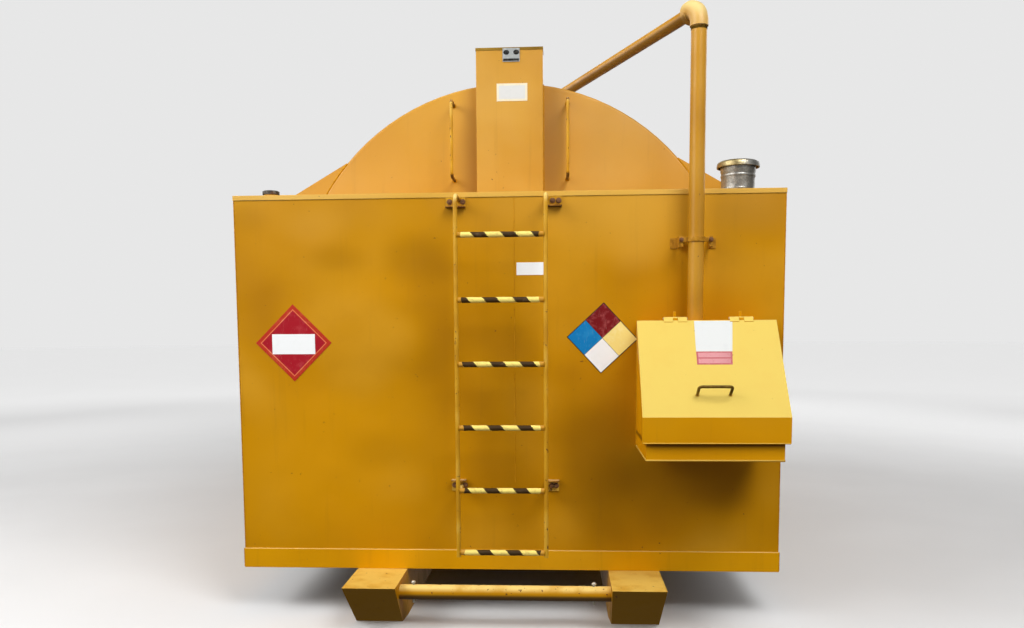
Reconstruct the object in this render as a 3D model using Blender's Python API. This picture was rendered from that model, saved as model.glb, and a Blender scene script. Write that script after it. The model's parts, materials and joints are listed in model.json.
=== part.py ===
"""Skid-mounted storage tank: a steel cylinder inside a boxed containment with a closed top.

Units are metres and +Z is up. The front wall, with the ladder, faces -Y. The origin is at ground
level under the middle of the object's bounding box.
"""

import math

import bmesh
import bpy
from mathutils import Vector

# Gap that stands for contact between two welded or resting pieces
GAP = 0.0003

# How far a cutter runs past what it cuts, and how many sides a round pipe has
OVERCUT = 0.1
PIPE_SIDES = 32

# Containment box
BOX_WIDTH = 2.70
BOX_LENGTH = 5.40
BOX_BOTTOM = 0.24
DECK_TOP = 2.12
PLATE = 0.006
BASE_HEIGHT = 0.10
BASE_FLANGE = 0.05
BASE_PROUD = 0.006
DECK_LIP = 0.024
LIP_PLATE = 0.004
SIDE_DECK_REACH = 0.5
SIDE_DECK_DEPTH = 0.2
HALF_WIDTH = BOX_WIDTH / 2

# Skids and the drag pipes between them
SKID_INNER_X = 0.510
SKID_WIDTH = 0.254
SKID_NOSE = 0.35
SKID_RAKE = 0.24
SKID_TAPER = 0.010
SKID_PLATE = 0.010
TOW_RADIUS = 0.0365
TOW_WALL = 0.006
TOW_AHEAD = 0.20
TOW_Z = 0.180
TOW_INSET = 0.045
TOW_HOLE = (-0.02, 0.05)
CROSS_MEMBERS = 5
WELD = 0.001

# Position of the front wall's outer face along Y, from the object's full reach
LID_REACH = 0.520
FRONT_Y = -(BOX_LENGTH + SKID_NOSE - LID_REACH) / 2
REAR_Y = FRONT_Y + BOX_LENGTH

# Cylinder
TANK_RADIUS = 1.21
TANK_Z = 1.576
TANK_PLATE = 0.008
TANK_SETBACK = 0.55
HEAD_KNUCKLE = 0.014
HEAD_FLANGE = 0.070
SEGMENTS = 96
SHOULDER_STEP = 11
SADDLE_INSET = 0.60
SADDLE_PLATE = 0.012
SADDLE_FOOT = 0.95

# Gauge housing that stands on the front deck
HOUSING_HALF = 0.178
HOUSING_DEPTH = 0.10
HOUSING_TOP = 2.94
HOUSING_PLATE = 0.003
HOUSING_OPEN_BACK = 0.02

# Grab rails on the front head
GRAB_X = 0.31
GRAB_LOW = 2.27
GRAB_HIGH = 2.67
GRAB_STANDOFF = 0.13
GRAB_RADIUS = 0.0085
GRAB_BEND = 0.028

# Ladder
RAIL_X = (-0.2246, 0.2006)
RAIL_RADIUS = 0.0105
RAIL_BOTTOM = 0.350
RAIL_TOP = 2.084
RAIL_BEND = 0.045
SPACER_RADIUS = 0.01
LADDER_STANDOFF = 0.178
RUNG_RADIUS = 0.0125
RUNG_FIRST_Z = 0.3727
RUNG_STEP = 0.3048
RUNGS = 6
LADDER_FOOT_Z = 0.668
CLIP_REACH = 0.040
CLIP_TOP_Z = (2.045, 2.095)
CLIP_TOP_X = ((-0.290, -0.193), (0.195, 0.278))
CLIP_LOW_Z = (0.645, 0.703)
CLIP_LOW_X = ((-0.276, -0.203), (0.195, 0.263))

# Spill box: depths are counted forward from the front wall
SPILL_X = 0.945
SPILL_HALF = 0.300
SPILL_BOTTOM = 0.875
SPILL_TOP = 1.482
SPILL_DEPTH = 0.495
SPILL_PLATE = 0.004
SPILL_LEDGE = 0.0375
SPILL_LEDGE_UNDER = -0.008
SPILL_LEDGE_OVER = 0.010
SPILL_OVERCUT = 0.3
RISER_HOLE_HALF = 0.05
HINGE_DEPTH = 0.198
HINGE_Z = 1.4985
LID_ANGLE = math.radians(53.63)
LID_HALF = 0.320
LID_PLATE = 0.004
LID_START = 0.014
LID_LIP_BOTTOM = 0.954
LID_SIDE_LIP = 0.050
LID_LIP_CORNER = (0.055, 0.040)
LID_SIDE_FRONT = 0.10
LID_SIDE_BACK = 0.03
LID_TOP_LIP = 0.02
LID_OVERCUT = 0.05
KNUCKLE_RADIUS = 0.007
KNUCKLE_X = (0.803, 1.106)
KNUCKLE_FIXED = 0.022
KNUCKLE_LID = 0.042
KNUCKLE_SPACE = 0.0005
HINGE_LEAF = (0.048, 0.006)
HINGE_STRAP = 0.024
STOP_HEIGHT = 0.050
STOP_HALF = 0.006
STOP_SPAN = (0.020, 0.026)
HANDLE_X = (0.870, 1.014)
HANDLE_ALONG = 0.422
HANDLE_STANDOFF = 0.070
HANDLE_RADIUS = 0.0068
HANDLE_BEND = 0.014

# Fill line: riser in front of the wall, elbow, level run back over the tank, drop to its crest
RISER_X = 0.910
RISER_DEPTH = 0.100
RISER_RADIUS = 0.0365
RISER_WALL = 0.005
RISER_BOTTOM = 1.20
RUN_Z = 2.922
RUN_RADIUS = 0.03015
RUN_WALL = 0.004
RUN_HEADING = math.radians(23.9)
ELBOW_BEND = 0.062
ELBOW_LEG = 0.020
COLLAR_RADIUS = 0.0425
RUN_COLLAR_RADIUS = 0.0535
COLLAR_LENGTH = 0.030
COLLAR_STEP = 0.003
CLAMP_Z = 1.870
CLAMP_HEIGHT = 0.021
CLAMP_BAND = 0.005
CLAMP_LEG_X = 0.079
CLAMP_LEG_LOW = 1.837
CLAMP_LEG_HIGH = 1.887
CLAMP_PLATE = 0.005
CLAMP_FOOT = 0.030
CLAMP_EAR = 0.019

# Emergency vent and monitor plug on the front deck
VENT_POS = (1.18, 0.30)
VENT_RADIUS = 0.0885
VENT_WALL = 0.007
VENT_TOP = 2.280
VENT_CAP_RADIUS = 0.1075
VENT_CAP_TOP = 2.302
VENT_SKIRT = 2.268
VENT_FOOT = (0.006, 0.012, 0.022)
VENT_NECK = 0.004
VENT_NECK_TOP = 0.030
VENT_RIM_FOOT = 0.020
VENT_CAP_SKIRT = 0.006
VENT_CAP_EDGE = ((0.0, 0.020), (0.003, 0.010), (0.010, 0.004), (0.026, 0.0))
VENT_SIDES = 40
PLUG_POS = (-1.259, 0.30)
PLUG_RADIUS = 0.037
PLUG_CAP_RADIUS = 0.0425
PLUG_SPLIT = 2.168
PLUG_TOP = 2.188
PLUG_EDGE = 0.004

# Colours, roughness and metallic value read from the photograph
YELLOW = ((0.60, 0.31, 0.03), 0.35, 0.0)
BRIGHT_YELLOW = ((0.72, 0.47, 0.06), 0.35, 0.0)
TAPE = ((0.50, 0.36, 0.08), 0.6, 0.0)
GALVANISED = ((0.50, 0.50, 0.48), 0.45, 0.9)
DARK = ((0.10, 0.09, 0.08), 0.5, 0.3)


def clear_scene():
    """Remove whatever the scene holds."""
    for obj in list(bpy.data.objects):
        bpy.data.objects.remove(obj, do_unlink=True)


def material(name, finish):
    """Return a new painted or metal material."""
    color, roughness, metallic = finish
    mat = bpy.data.materials.new(name + "_finish")
    mat.use_nodes = True
    shader = mat.node_tree.nodes["Principled BSDF"]
    shader.inputs["Base Color"].default_value = (*color, 1.0)
    shader.inputs["Roughness"].default_value = roughness
    shader.inputs["Metallic"].default_value = metallic
    mat.diffuse_color = (*color, 1.0)
    return mat


def add(name, bm, finish, origin=(0, 0, 0), smooth=False):
    """Turn a bmesh in world coordinates into a named object with its own origin."""
    bmesh.ops.recalc_face_normals(bm, faces=bm.faces)
    bmesh.ops.translate(bm, verts=bm.verts, vec=-Vector(origin))
    mesh = bpy.data.meshes.new(name)
    bm.to_mesh(mesh)
    bm.free()
    mesh.materials.append(material(name, finish))
    if smooth:
        mesh.shade_smooth()
        mesh.set_sharp_from_angle(angle=math.radians(35))
    obj = bpy.data.objects.new(name, mesh)
    obj.location = origin
    bpy.context.scene.collection.objects.link(obj)
    return obj


def combine(obj, bm, name, operation):
    """Apply a Boolean between an object and a closed bmesh in world coordinates."""
    helper = add(name, bm, DARK)
    helper.hide_render = True
    helper.display_type = "WIRE"
    modifier = obj.modifiers.new(name, "BOOLEAN")
    modifier.operation = operation
    modifier.object = helper


def cut(obj, bm, name):
    """Cut a closed bmesh out of an object."""
    combine(obj, bm, name, "DIFFERENCE")


def join(obj, bm, name):
    """Weld a closed bmesh that overlaps an object onto it."""
    combine(obj, bm, name, "UNION")


def box(low, high):
    """Return a bmesh that holds one box with its sides along the axes."""
    bm = bmesh.new()
    for vert in bmesh.ops.create_cube(bm, size=1.0)["verts"]:
        for i in range(3):
            vert.co[i] = low[i] if vert.co[i] < 0 else high[i]
    return bm


def prism(outline, axis, low, high):
    """Return a bmesh of an outline, given in the plane across an axis, drawn from low to high along it."""
    bm = bmesh.new()
    ends = []
    for level in (low, high):
        ring = []
        for a, b in outline:
            co = [a, b]
            co.insert(axis, level)
            ring.append(bm.verts.new(co))
        ends.append(ring)
    bm.faces.new(ends[0])
    bm.faces.new(list(reversed(ends[1])))
    count = len(outline)
    for i in range(count):
        j = (i + 1) % count
        bm.faces.new((ends[0][i], ends[1][i], ends[1][j], ends[0][j]))
    return bm


def turned(profile, segments, place):
    """Return a bmesh turned from a closed profile of (radius, height) pairs; place maps it to world."""
    bm = bmesh.new()
    rings = []
    for radius, height in profile:
        if radius == 0:
            rings.append([bm.verts.new(place(0, 0, height))] * segments)
            continue
        ring = []
        for k in range(segments):
            angle = 2 * math.pi * k / segments
            ring.append(bm.verts.new(place(radius * math.cos(angle), radius * math.sin(angle), height)))
        rings.append(ring)
    for first, second in zip(rings, rings[1:] + rings[:1]):
        for k in range(segments):
            j = (k + 1) % segments
            corners = []
            for vert in (first[k], first[j], second[j], second[k]):
                if vert not in corners:
                    corners.append(vert)
            if len(corners) > 2:
                bm.faces.new(corners)
    return bm


def upright(x, y):
    """Map turned coordinates to a vertical axis at x, y."""
    return lambda a, b, h: (x + a, y + b, h)


def along_y(x, z):
    """Map turned coordinates to an axis along Y at x, z."""
    return lambda a, b, h: (x + a, h, z + b)


def along_x(y, z):
    """Map turned coordinates to an axis along X at y, z."""
    return lambda a, b, h: (h, y + a, z + b)


def sweep(stations, sides, bore=None):
    """Return a bmesh of a bar, or a tube with a bore, through (point, direction, radius) stations."""
    bm = bmesh.new()
    side = Vector((1, 0, 0))
    outer = []
    inner = []
    for point, direction, radius in stations:
        direction = Vector(direction).normalized()
        side = side - side.dot(direction) * direction
        if side.length < 0.2:
            side = Vector((0, 1, 0)) - direction.y * direction
        side.normalize()
        across = direction.cross(side)
        for rings, size in ((outer, radius), (inner, bore)):
            if size is None:
                continue
            ring = []
            for k in range(sides):
                angle = 2 * math.pi * k / sides
                co = Vector(point) + size * (math.cos(angle) * side + math.sin(angle) * across)
                ring.append(bm.verts.new(co))
            rings.append(ring)
    loops = outer + inner[::-1]
    pairs = list(zip(loops, loops[1:]))
    if bore is None:
        bm.faces.new(outer[0])
        bm.faces.new(outer[-1])
    else:
        pairs.append((loops[-1], loops[0]))
    for first, second in pairs:
        for k in range(sides):
            j = (k + 1) % sides
            bm.faces.new((first[k], first[j], second[j], second[k]))
    return bm


def bend(start, corner, end, radius, steps=6):
    """Return the points of a rounded corner between two straight legs."""
    start, corner, end = Vector(start), Vector(corner), Vector(end)
    first = (start - corner).normalized()
    last = (end - corner).normalized()
    half = first.angle(last) / 2
    reach = radius / math.tan(half)
    centre = corner + (first + last).normalized() * (radius / math.sin(half))
    from_centre = corner + first * reach - centre
    to_centre = corner + last * reach - centre
    total = from_centre.angle(to_centre)
    points = []
    for i in range(steps + 1):
        t = i / steps
        a = math.sin((1 - t) * total) / math.sin(total)
        b = math.sin(t * total) / math.sin(total)
        points.append(centre + a * from_centre + b * to_centre)
    return points


def bar_stations(points, radius):
    """Give each point of a path the mean direction of its neighbours and one radius."""
    stations = []
    for i, point in enumerate(points):
        ahead = points[min(i + 1, len(points) - 1)]
        behind = points[max(i - 1, 0)]
        stations.append((point, Vector(ahead) - Vector(behind), radius))
    return stations


def circle_point(step, radius):
    """Return x, z of one vertex of the tank's polygon, counted from +X towards +Z."""
    angle = 2 * math.pi * step / SEGMENTS
    return radius * math.cos(angle), TANK_Z + radius * math.sin(angle)


def build_skid(name, side):
    """A box-section runner with raked, slightly tapered noses and a hole for each drag pipe."""
    inner_x = SKID_INNER_X
    outer_x = SKID_INNER_X + SKID_WIDTH
    top = BOX_BOTTOM - GAP

    def runner(inset):
        x0, x1 = inner_x + inset, outer_x - inset
        z0, z1 = inset, top - inset
        bm = bmesh.new()
        sections = []
        for y, out in ((FRONT_Y, -1), (REAR_Y, 1)):
            slant = inset * math.sqrt(2)
            tip_high = y + out * (SKID_NOSE - slant - (top - z1))
            tip_low = y + out * (SKID_NOSE - SKID_RAKE - slant + z0)
            nose = [
                (x0, tip_high, z1),
                (x1, tip_high, z1),
                (x1 - SKID_TAPER, tip_low, z0),
                (x0 + SKID_TAPER, tip_low, z0),
            ]
            straight = [(x0, y, z1), (x1, y, z1), (x1, y, z0), (x0, y, z0)]
            sections += [nose, straight] if out < 0 else [straight, nose]
        rings = [[bm.verts.new((side * x, y, z)) for x, y, z in ring] for ring in sections]
        bm.faces.new(rings[0])
        bm.faces.new(rings[-1])
        for first, second in zip(rings, rings[1:]):
            for k in range(4):
                j = (k + 1) % 4
                bm.faces.new((first[k], first[j], second[j], second[k]))
        return bm

    obj = add(name, runner(0.0), YELLOW)
    cut(obj, runner(SKID_PLATE), name + "_hollow")
    for tag, y in (("front", FRONT_Y - TOW_AHEAD), ("rear", REAR_Y + TOW_AHEAD)):
        ends = sorted((side * (inner_x + TOW_HOLE[0]), side * (inner_x + TOW_HOLE[1])))
        profile = [(0, ends[0]), (TOW_RADIUS + GAP, ends[0]), (TOW_RADIUS + GAP, ends[1]), (0, ends[1])]
        cut(obj, turned(profile, PIPE_SIDES, along_x(y, TOW_Z)), name + "_hole_" + tag)


def build_tow_pipe(name, y):
    """A drag pipe whose ends lie inside the two skid noses."""
    reach = SKID_INNER_X + TOW_INSET
    inner = TOW_RADIUS - TOW_WALL
    profile = [(TOW_RADIUS, -reach), (TOW_RADIUS, reach), (inner, reach), (inner, -reach)]
    add(name, turned(profile, PIPE_SIDES, along_x(y, TOW_Z)), YELLOW, (0, y, TOW_Z), True)


def channel_outline(start, inward, high=BOX_BOTTOM + BASE_HEIGHT):
    """Return the C section of the base frame: depth from its outer face, and height."""
    low = BOX_BOTTOM
    web = BASE_PROUD + PLATE
    deep = BASE_FLANGE
    pairs = [(0, low), (deep, low), (deep, low + PLATE), (web, low + PLATE)]
    pairs += [(web, high - PLATE), (deep, high - PLATE), (deep, high), (0, high)]
    return [(start + inward * depth, z) for depth, z in pairs]


def build_base_frame():
    """Four mitred channels round the base."""
    half = HALF_WIDTH + BASE_PROUD
    front = FRONT_Y - BASE_PROUD
    rear = REAR_Y + BASE_PROUD
    sides = (
        ("base_channel_front", 0, front, 1, -half, half),
        ("base_channel_rear", 0, rear, -1, -half, half),
        ("base_channel_left", 1, -half, 1, front, rear),
        ("base_channel_right", 1, half, -1, front, rear),
    )
    for name, axis, face, inward, low, high in sides:
        outline = channel_outline(face, inward)
        bm = prism(outline, axis, low, high)
        middle = (low + high) / 2
        for vert in bm.verts:
            depth = (vert.co[1 - axis] - face) * inward
            trim = depth + GAP
            vert.co[axis] += trim if vert.co[axis] < middle else -trim
        add(name, bm, YELLOW)


def build_box():
    """Floor plate, with the cross members welded under it, and the four walls."""
    low = BOX_BOTTOM + BASE_HEIGHT + GAP
    high = DECK_TOP - PLATE - GAP
    inside_x = HALF_WIDTH - PLATE - GAP
    inside_front = FRONT_Y + PLATE + GAP
    inside_rear = REAR_Y - PLATE - GAP
    plate = box((-inside_x, inside_front, low), (inside_x, inside_rear, low + PLATE))
    floor = add("floor", plate, YELLOW)
    reach = HALF_WIDTH + BASE_PROUD - BASE_FLANGE - GAP
    pitch = BOX_LENGTH / (CROSS_MEMBERS + 1)
    for i in range(CROSS_MEMBERS):
        outline = channel_outline(FRONT_Y + pitch * (i + 1), 1, low + WELD)
        join(floor, prism(outline, 0, -reach, reach), "cross_member_" + str(i + 1))
    front = box((-HALF_WIDTH, FRONT_Y, low), (HALF_WIDTH, FRONT_Y + PLATE, high))
    add("front_wall", front, YELLOW)
    rear = box((-HALF_WIDTH, REAR_Y - PLATE, low), (HALF_WIDTH, REAR_Y, high))
    add("rear_wall", rear, YELLOW)
    left = box((-HALF_WIDTH, inside_front, low), (PLATE - HALF_WIDTH, inside_rear, high))
    add("left_wall", left, YELLOW)
    right = box((HALF_WIDTH - PLATE, inside_front, low), (HALF_WIDTH, inside_rear, high))
    add("right_wall", right, YELLOW)


def build_end_deck(name, wall_y, inward):
    """A flat deck plate at one end of the box, with its edges turned down over the walls."""
    out_x = HALF_WIDTH + GAP + LIP_PLATE
    edge = wall_y - inward * (GAP + LIP_PLATE)
    back = wall_y + inward * (TANK_SETBACK - GAP)
    ends = sorted((edge, back))
    obj = add(name, box((-out_x, ends[0], DECK_TOP - DECK_LIP), (out_x, ends[1], DECK_TOP)), YELLOW)
    hollow = sorted((wall_y - inward * GAP, back + inward * OVERCUT))
    low = (-HALF_WIDTH - GAP, hollow[0], DECK_TOP - OVERCUT)
    high = (HALF_WIDTH + GAP, hollow[1], DECK_TOP - PLATE)
    cut(obj, box(low, high), name + "_underside")


def build_side_deck(name, side):
    """A sloped cover from one side wall up to the tank, closed at its ends by upright plates."""
    eave = HALF_WIDTH + GAP + LIP_PLATE
    ridge = circle_point(SHOULDER_STEP, TANK_RADIUS + GAP)
    arc = [circle_point(k, TANK_RADIUS + GAP) for k in range(SHOULDER_STEP, 5, -1)]
    outline = [(eave, DECK_TOP - DECK_LIP), (eave, DECK_TOP)] + arc
    outline.append((arc[-1][0], DECK_TOP - DECK_LIP))
    front = FRONT_Y + TANK_SETBACK
    rear = REAR_Y - TANK_SETBACK
    mirrored = [(side * x, z) for x, z in outline]
    obj = add(name, prism(mirrored, 1, front, rear), YELLOW)
    ends = sorted((side * (HALF_WIDTH + GAP), side * SIDE_DECK_REACH))
    low = (ends[0], front - OVERCUT, DECK_TOP - OVERCUT)
    high = (ends[1], rear + OVERCUT, DECK_TOP - PLATE + GAP)
    cut(obj, box(low, high), name + "_underside")
    rise = (ridge[1] - DECK_TOP) / (eave - ridge[0])
    drop = PLATE * math.sqrt(1 + rise * rise)
    wall_x = HALF_WIDTH + GAP
    wall_z = DECK_TOP + rise * (eave - wall_x) - drop
    far_x = SIDE_DECK_REACH
    far_z = DECK_TOP + rise * (eave - far_x) - drop
    floor_z = DECK_TOP - SIDE_DECK_DEPTH
    inner = [(wall_x, floor_z), (wall_x, wall_z), (far_x, far_z), (far_x, floor_z)]
    mirrored = [(side * x, z) for x, z in inner]
    cut(obj, prism(mirrored, 1, front + PLATE, rear - PLATE), name + "_hollow")


def build_tank():
    """Rolled shell, two flanged flat heads and the saddles under it."""
    front = FRONT_Y + TANK_SETBACK
    rear = REAR_Y - TANK_SETBACK
    inner = TANK_RADIUS - TANK_PLATE
    low = front + HEAD_FLANGE + GAP
    high = rear - HEAD_FLANGE - GAP
    profile = [(TANK_RADIUS, low), (TANK_RADIUS, high), (inner, high), (inner, low)]
    place = along_y(0, TANK_Z)
    add("tank_shell", turned(profile, SEGMENTS, place), YELLOW, (0, 0, TANK_Z), True)
    for name, face, inward in (("tank_head_front", front, 1), ("tank_head_rear", rear, -1)):
        outer_edge = []
        inner_edge = []
        for i in range(6):
            angle = math.radians(18 * i)
            turn = TANK_RADIUS - HEAD_KNUCKLE + HEAD_KNUCKLE * math.sin(angle)
            outer_edge.append((turn, face + inward * HEAD_KNUCKLE * (1 - math.cos(angle))))
            small = HEAD_KNUCKLE - TANK_PLATE
            turn = TANK_RADIUS - HEAD_KNUCKLE + small * math.sin(angle)
            inner_edge.append((turn, face + inward * (HEAD_KNUCKLE - small * math.cos(angle))))
        lip = face + inward * HEAD_FLANGE
        profile = [(0, face)] + outer_edge + [(TANK_RADIUS, lip), (inner, lip)]
        profile += inner_edge[::-1] + [(0, face + inward * TANK_PLATE)]
        add(name, turned(profile, SEGMENTS, place), YELLOW, (0, face, TANK_Z), True)
    foot = BOX_BOTTOM + BASE_HEIGHT + PLATE + 2 * GAP
    arc = [circle_point(k, TANK_RADIUS + GAP) for k in range(60, 85)]
    outline = [(-SADDLE_FOOT, foot), (SADDLE_FOOT, foot)] + arc[::-1]
    for name, y in (("saddle_front", front + SADDLE_INSET), ("saddle_rear", rear - SADDLE_INSET)):
        add(name, prism(outline, 1, y - SADDLE_PLATE / 2, y + SADDLE_PLATE / 2), YELLOW)


def build_gauge_housing():
    """A folded sheet housing against the front head, open at the back below the tank's crest."""
    back = FRONT_Y + TANK_SETBACK - GAP
    face = FRONT_Y + TANK_SETBACK - HOUSING_DEPTH
    low = DECK_TOP + GAP
    wall = HOUSING_PLATE
    crest = TANK_Z + TANK_RADIUS
    obj = add("gauge_housing", box((-HOUSING_HALF, face, low), (HOUSING_HALF, back, HOUSING_TOP)), YELLOW)
    inner = HOUSING_HALF - wall
    below = low - OVERCUT
    shaft = box((-inner, face + wall, below), (inner, back - wall, HOUSING_TOP - wall))
    cut(obj, shaft, "gauge_housing_shaft")
    behind = box((-inner, back - HOUSING_OPEN_BACK, below), (inner, back + OVERCUT, crest))
    cut(obj, behind, "gauge_housing_back")


def build_grab_rail(name, x):
    """A bent round bar whose two ends meet the front head."""
    seat = FRONT_Y + TANK_SETBACK - GAP
    out = FRONT_Y + TANK_SETBACK - GRAB_STANDOFF
    low_end, low_corner = (x, seat, GRAB_LOW), (x, out, GRAB_LOW)
    high_corner, high_end = (x, out, GRAB_HIGH), (x, seat, GRAB_HIGH)
    points = [low_end] + bend(low_end, low_corner, high_corner, GRAB_BEND)
    points += bend(low_corner, high_corner, high_end, GRAB_BEND) + [high_end]
    add(name, sweep(bar_stations(points, GRAB_RADIUS), 12), YELLOW, smooth=True)


def build_ladder_rail(name, index):
    """A round rail that bends back to the wall at its top, with its clips and lower spacer."""
    x = RAIL_X[index]
    out = FRONT_Y - LADDER_STANDOFF
    pad_face = FRONT_Y - PLATE - GAP
    bottom, corner = (x, out, RAIL_BOTTOM), (x, out, RAIL_TOP)
    end = (x, pad_face + WELD, RAIL_TOP)
    points = [bottom] + bend(bottom, corner, end, RAIL_BEND) + [end]
    obj = add(name, sweep(bar_stations(points, RAIL_RADIUS), 16), YELLOW, smooth=True)
    spacer = [(x, out, LADDER_FOOT_Z), (x, pad_face + WELD, LADDER_FOOT_Z)]
    join(obj, sweep(bar_stations(spacer, SPACER_RADIUS), 16), name + "_spacer")
    join_clip(obj, CLIP_TOP_X[index], CLIP_TOP_Z, CLIP_TOP_Z[0], name + "_top_clip")
    join_clip(obj, CLIP_LOW_X[index], CLIP_LOW_Z, CLIP_LOW_Z[1] - PLATE, name + "_low_clip")


def join_clip(obj, span, heights, shelf_z, name):
    """Weld an angle clip on a rail: an upright leg on the wall and a level leg that stands out."""
    back = FRONT_Y - GAP
    leg = box((span[0], back - PLATE, heights[0]), (span[1], back, heights[1]))
    shelf = box((span[0], back - CLIP_REACH, shelf_z), (span[1], back - PLATE + WELD, shelf_z + PLATE))
    join(obj, leg, name + "_leg")
    join(obj, shelf, name + "_shelf")


def build_rung(index):
    """One round rung between the rails."""
    y = FRONT_Y - LADDER_STANDOFF
    z = RUNG_FIRST_Z + RUNG_STEP * index
    low = RAIL_X[0] + RAIL_RADIUS + GAP
    high = RAIL_X[1] - RAIL_RADIUS - GAP
    profile = [(0, low), (RUNG_RADIUS, low), (RUNG_RADIUS, high), (0, high)]
    bm = turned(profile, 24, along_x(y, z))
    add("rung_" + str(index + 1), bm, TAPE, (0, y, z), True)


def lid_point(along, out):
    """Return y, z of a point counted from the hinge axis down the lid and out of its underside."""
    depth = HINGE_DEPTH + along * math.cos(LID_ANGLE) + out * math.sin(LID_ANGLE)
    z = HINGE_Z - along * math.sin(LID_ANGLE) + out * math.cos(LID_ANGLE)
    return FRONT_Y - depth, z


def build_spill_box():
    """The box round the foot of the riser: level top, sloped open front, and fixed hinge parts."""
    rim_top = lid_point((HINGE_Z - SPILL_TOP) / math.sin(LID_ANGLE), -GAP)
    front_along = (SPILL_DEPTH - HINGE_DEPTH) / math.cos(LID_ANGLE)
    rim_front = lid_point(front_along, -GAP)
    back = FRONT_Y - GAP
    front = FRONT_Y - SPILL_DEPTH
    low_x = SPILL_X - SPILL_HALF
    high_x = SPILL_X + SPILL_HALF
    outline = [(back, SPILL_BOTTOM), (back, SPILL_TOP), (rim_top[0], SPILL_TOP)]
    outline += [(front, rim_front[1]), (front, SPILL_BOTTOM)]
    obj = add("spill_box", prism(outline, 0, low_x, high_x), YELLOW)
    wall = SPILL_PLATE
    above_rim = lid_point(front_along / 2, SPILL_OVERCUT)
    inner = [(back - wall, SPILL_BOTTOM + wall), (back - wall, SPILL_TOP - wall)]
    inner += [(rim_top[0] + wall, SPILL_TOP - wall), (rim_top[0] + wall, rim_top[1] - 2 * wall)]
    inner += [lid_point(SPILL_LEDGE, SPILL_LEDGE_UNDER), lid_point(SPILL_LEDGE, SPILL_LEDGE_OVER)]
    inner += [above_rim, (front + wall, rim_front[1] + SPILL_OVERCUT)]
    inner.append((front + wall, SPILL_BOTTOM + wall))
    cut(obj, prism(inner, 0, low_x + wall, high_x - wall), "spill_box_hollow")
    reach = RISER_RADIUS + GAP
    hole_low = SPILL_TOP - RISER_HOLE_HALF
    hole_high = SPILL_TOP + RISER_HOLE_HALF
    profile = [(0, hole_low), (reach, hole_low), (reach, hole_high), (0, hole_high)]
    place = upright(RISER_X, FRONT_Y - RISER_DEPTH)
    cut(obj, turned(profile, PIPE_SIDES, place), "spill_box_riser_hole")
    for i, x in enumerate(KNUCKLE_X):
        join_fixed_knuckle(obj, x, "spill_box_hinge_" + str(i + 1))


def join_fixed_knuckle(obj, x, name):
    """Weld one hinge's middle knuckle and the lid's stop onto the box's level top."""
    axis_y = FRONT_Y - HINGE_DEPTH
    foot = SPILL_TOP - WELD
    leaf_length, leaf_plate = HINGE_LEAF
    outline = [(axis_y + leaf_length, foot), (axis_y + leaf_length, foot + leaf_plate)]
    outline.append((axis_y + KNUCKLE_RADIUS, foot + leaf_plate))
    for i in range(9):
        angle = math.radians(22.5 * i)
        outline.append(
            (axis_y + KNUCKLE_RADIUS * math.cos(angle), HINGE_Z + KNUCKLE_RADIUS * math.sin(angle))
        )
    outline.append((axis_y - KNUCKLE_RADIUS, foot))
    half = KNUCKLE_FIXED / 2
    join(obj, prism(outline, 0, x - half, x + half), name + "_knuckle")
    low = (x - STOP_HALF, axis_y + STOP_SPAN[0], foot)
    high = (x + STOP_HALF, axis_y + STOP_SPAN[1], foot + STOP_HEIGHT)
    join(obj, box(low, high), name + "_stop")


def knuckle_and_strap(low_x, high_x):
    """Return one of the lid's knuckles with its short strap, which is welded on the lid."""
    seat = LID_PLATE - WELD
    outline = [(HINGE_STRAP, seat), (HINGE_STRAP, KNUCKLE_RADIUS)]
    for i in range(9):
        angle = math.radians(90 + 30 * i)
        outline.append((KNUCKLE_RADIUS * math.cos(angle), KNUCKLE_RADIUS * math.sin(angle)))
    outline[-1] = (math.sqrt(KNUCKLE_RADIUS**2 - seat**2), seat)
    placed = [lid_point(along, out) for along, out in outline]
    return prism(placed, 0, low_x, high_x)


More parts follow.
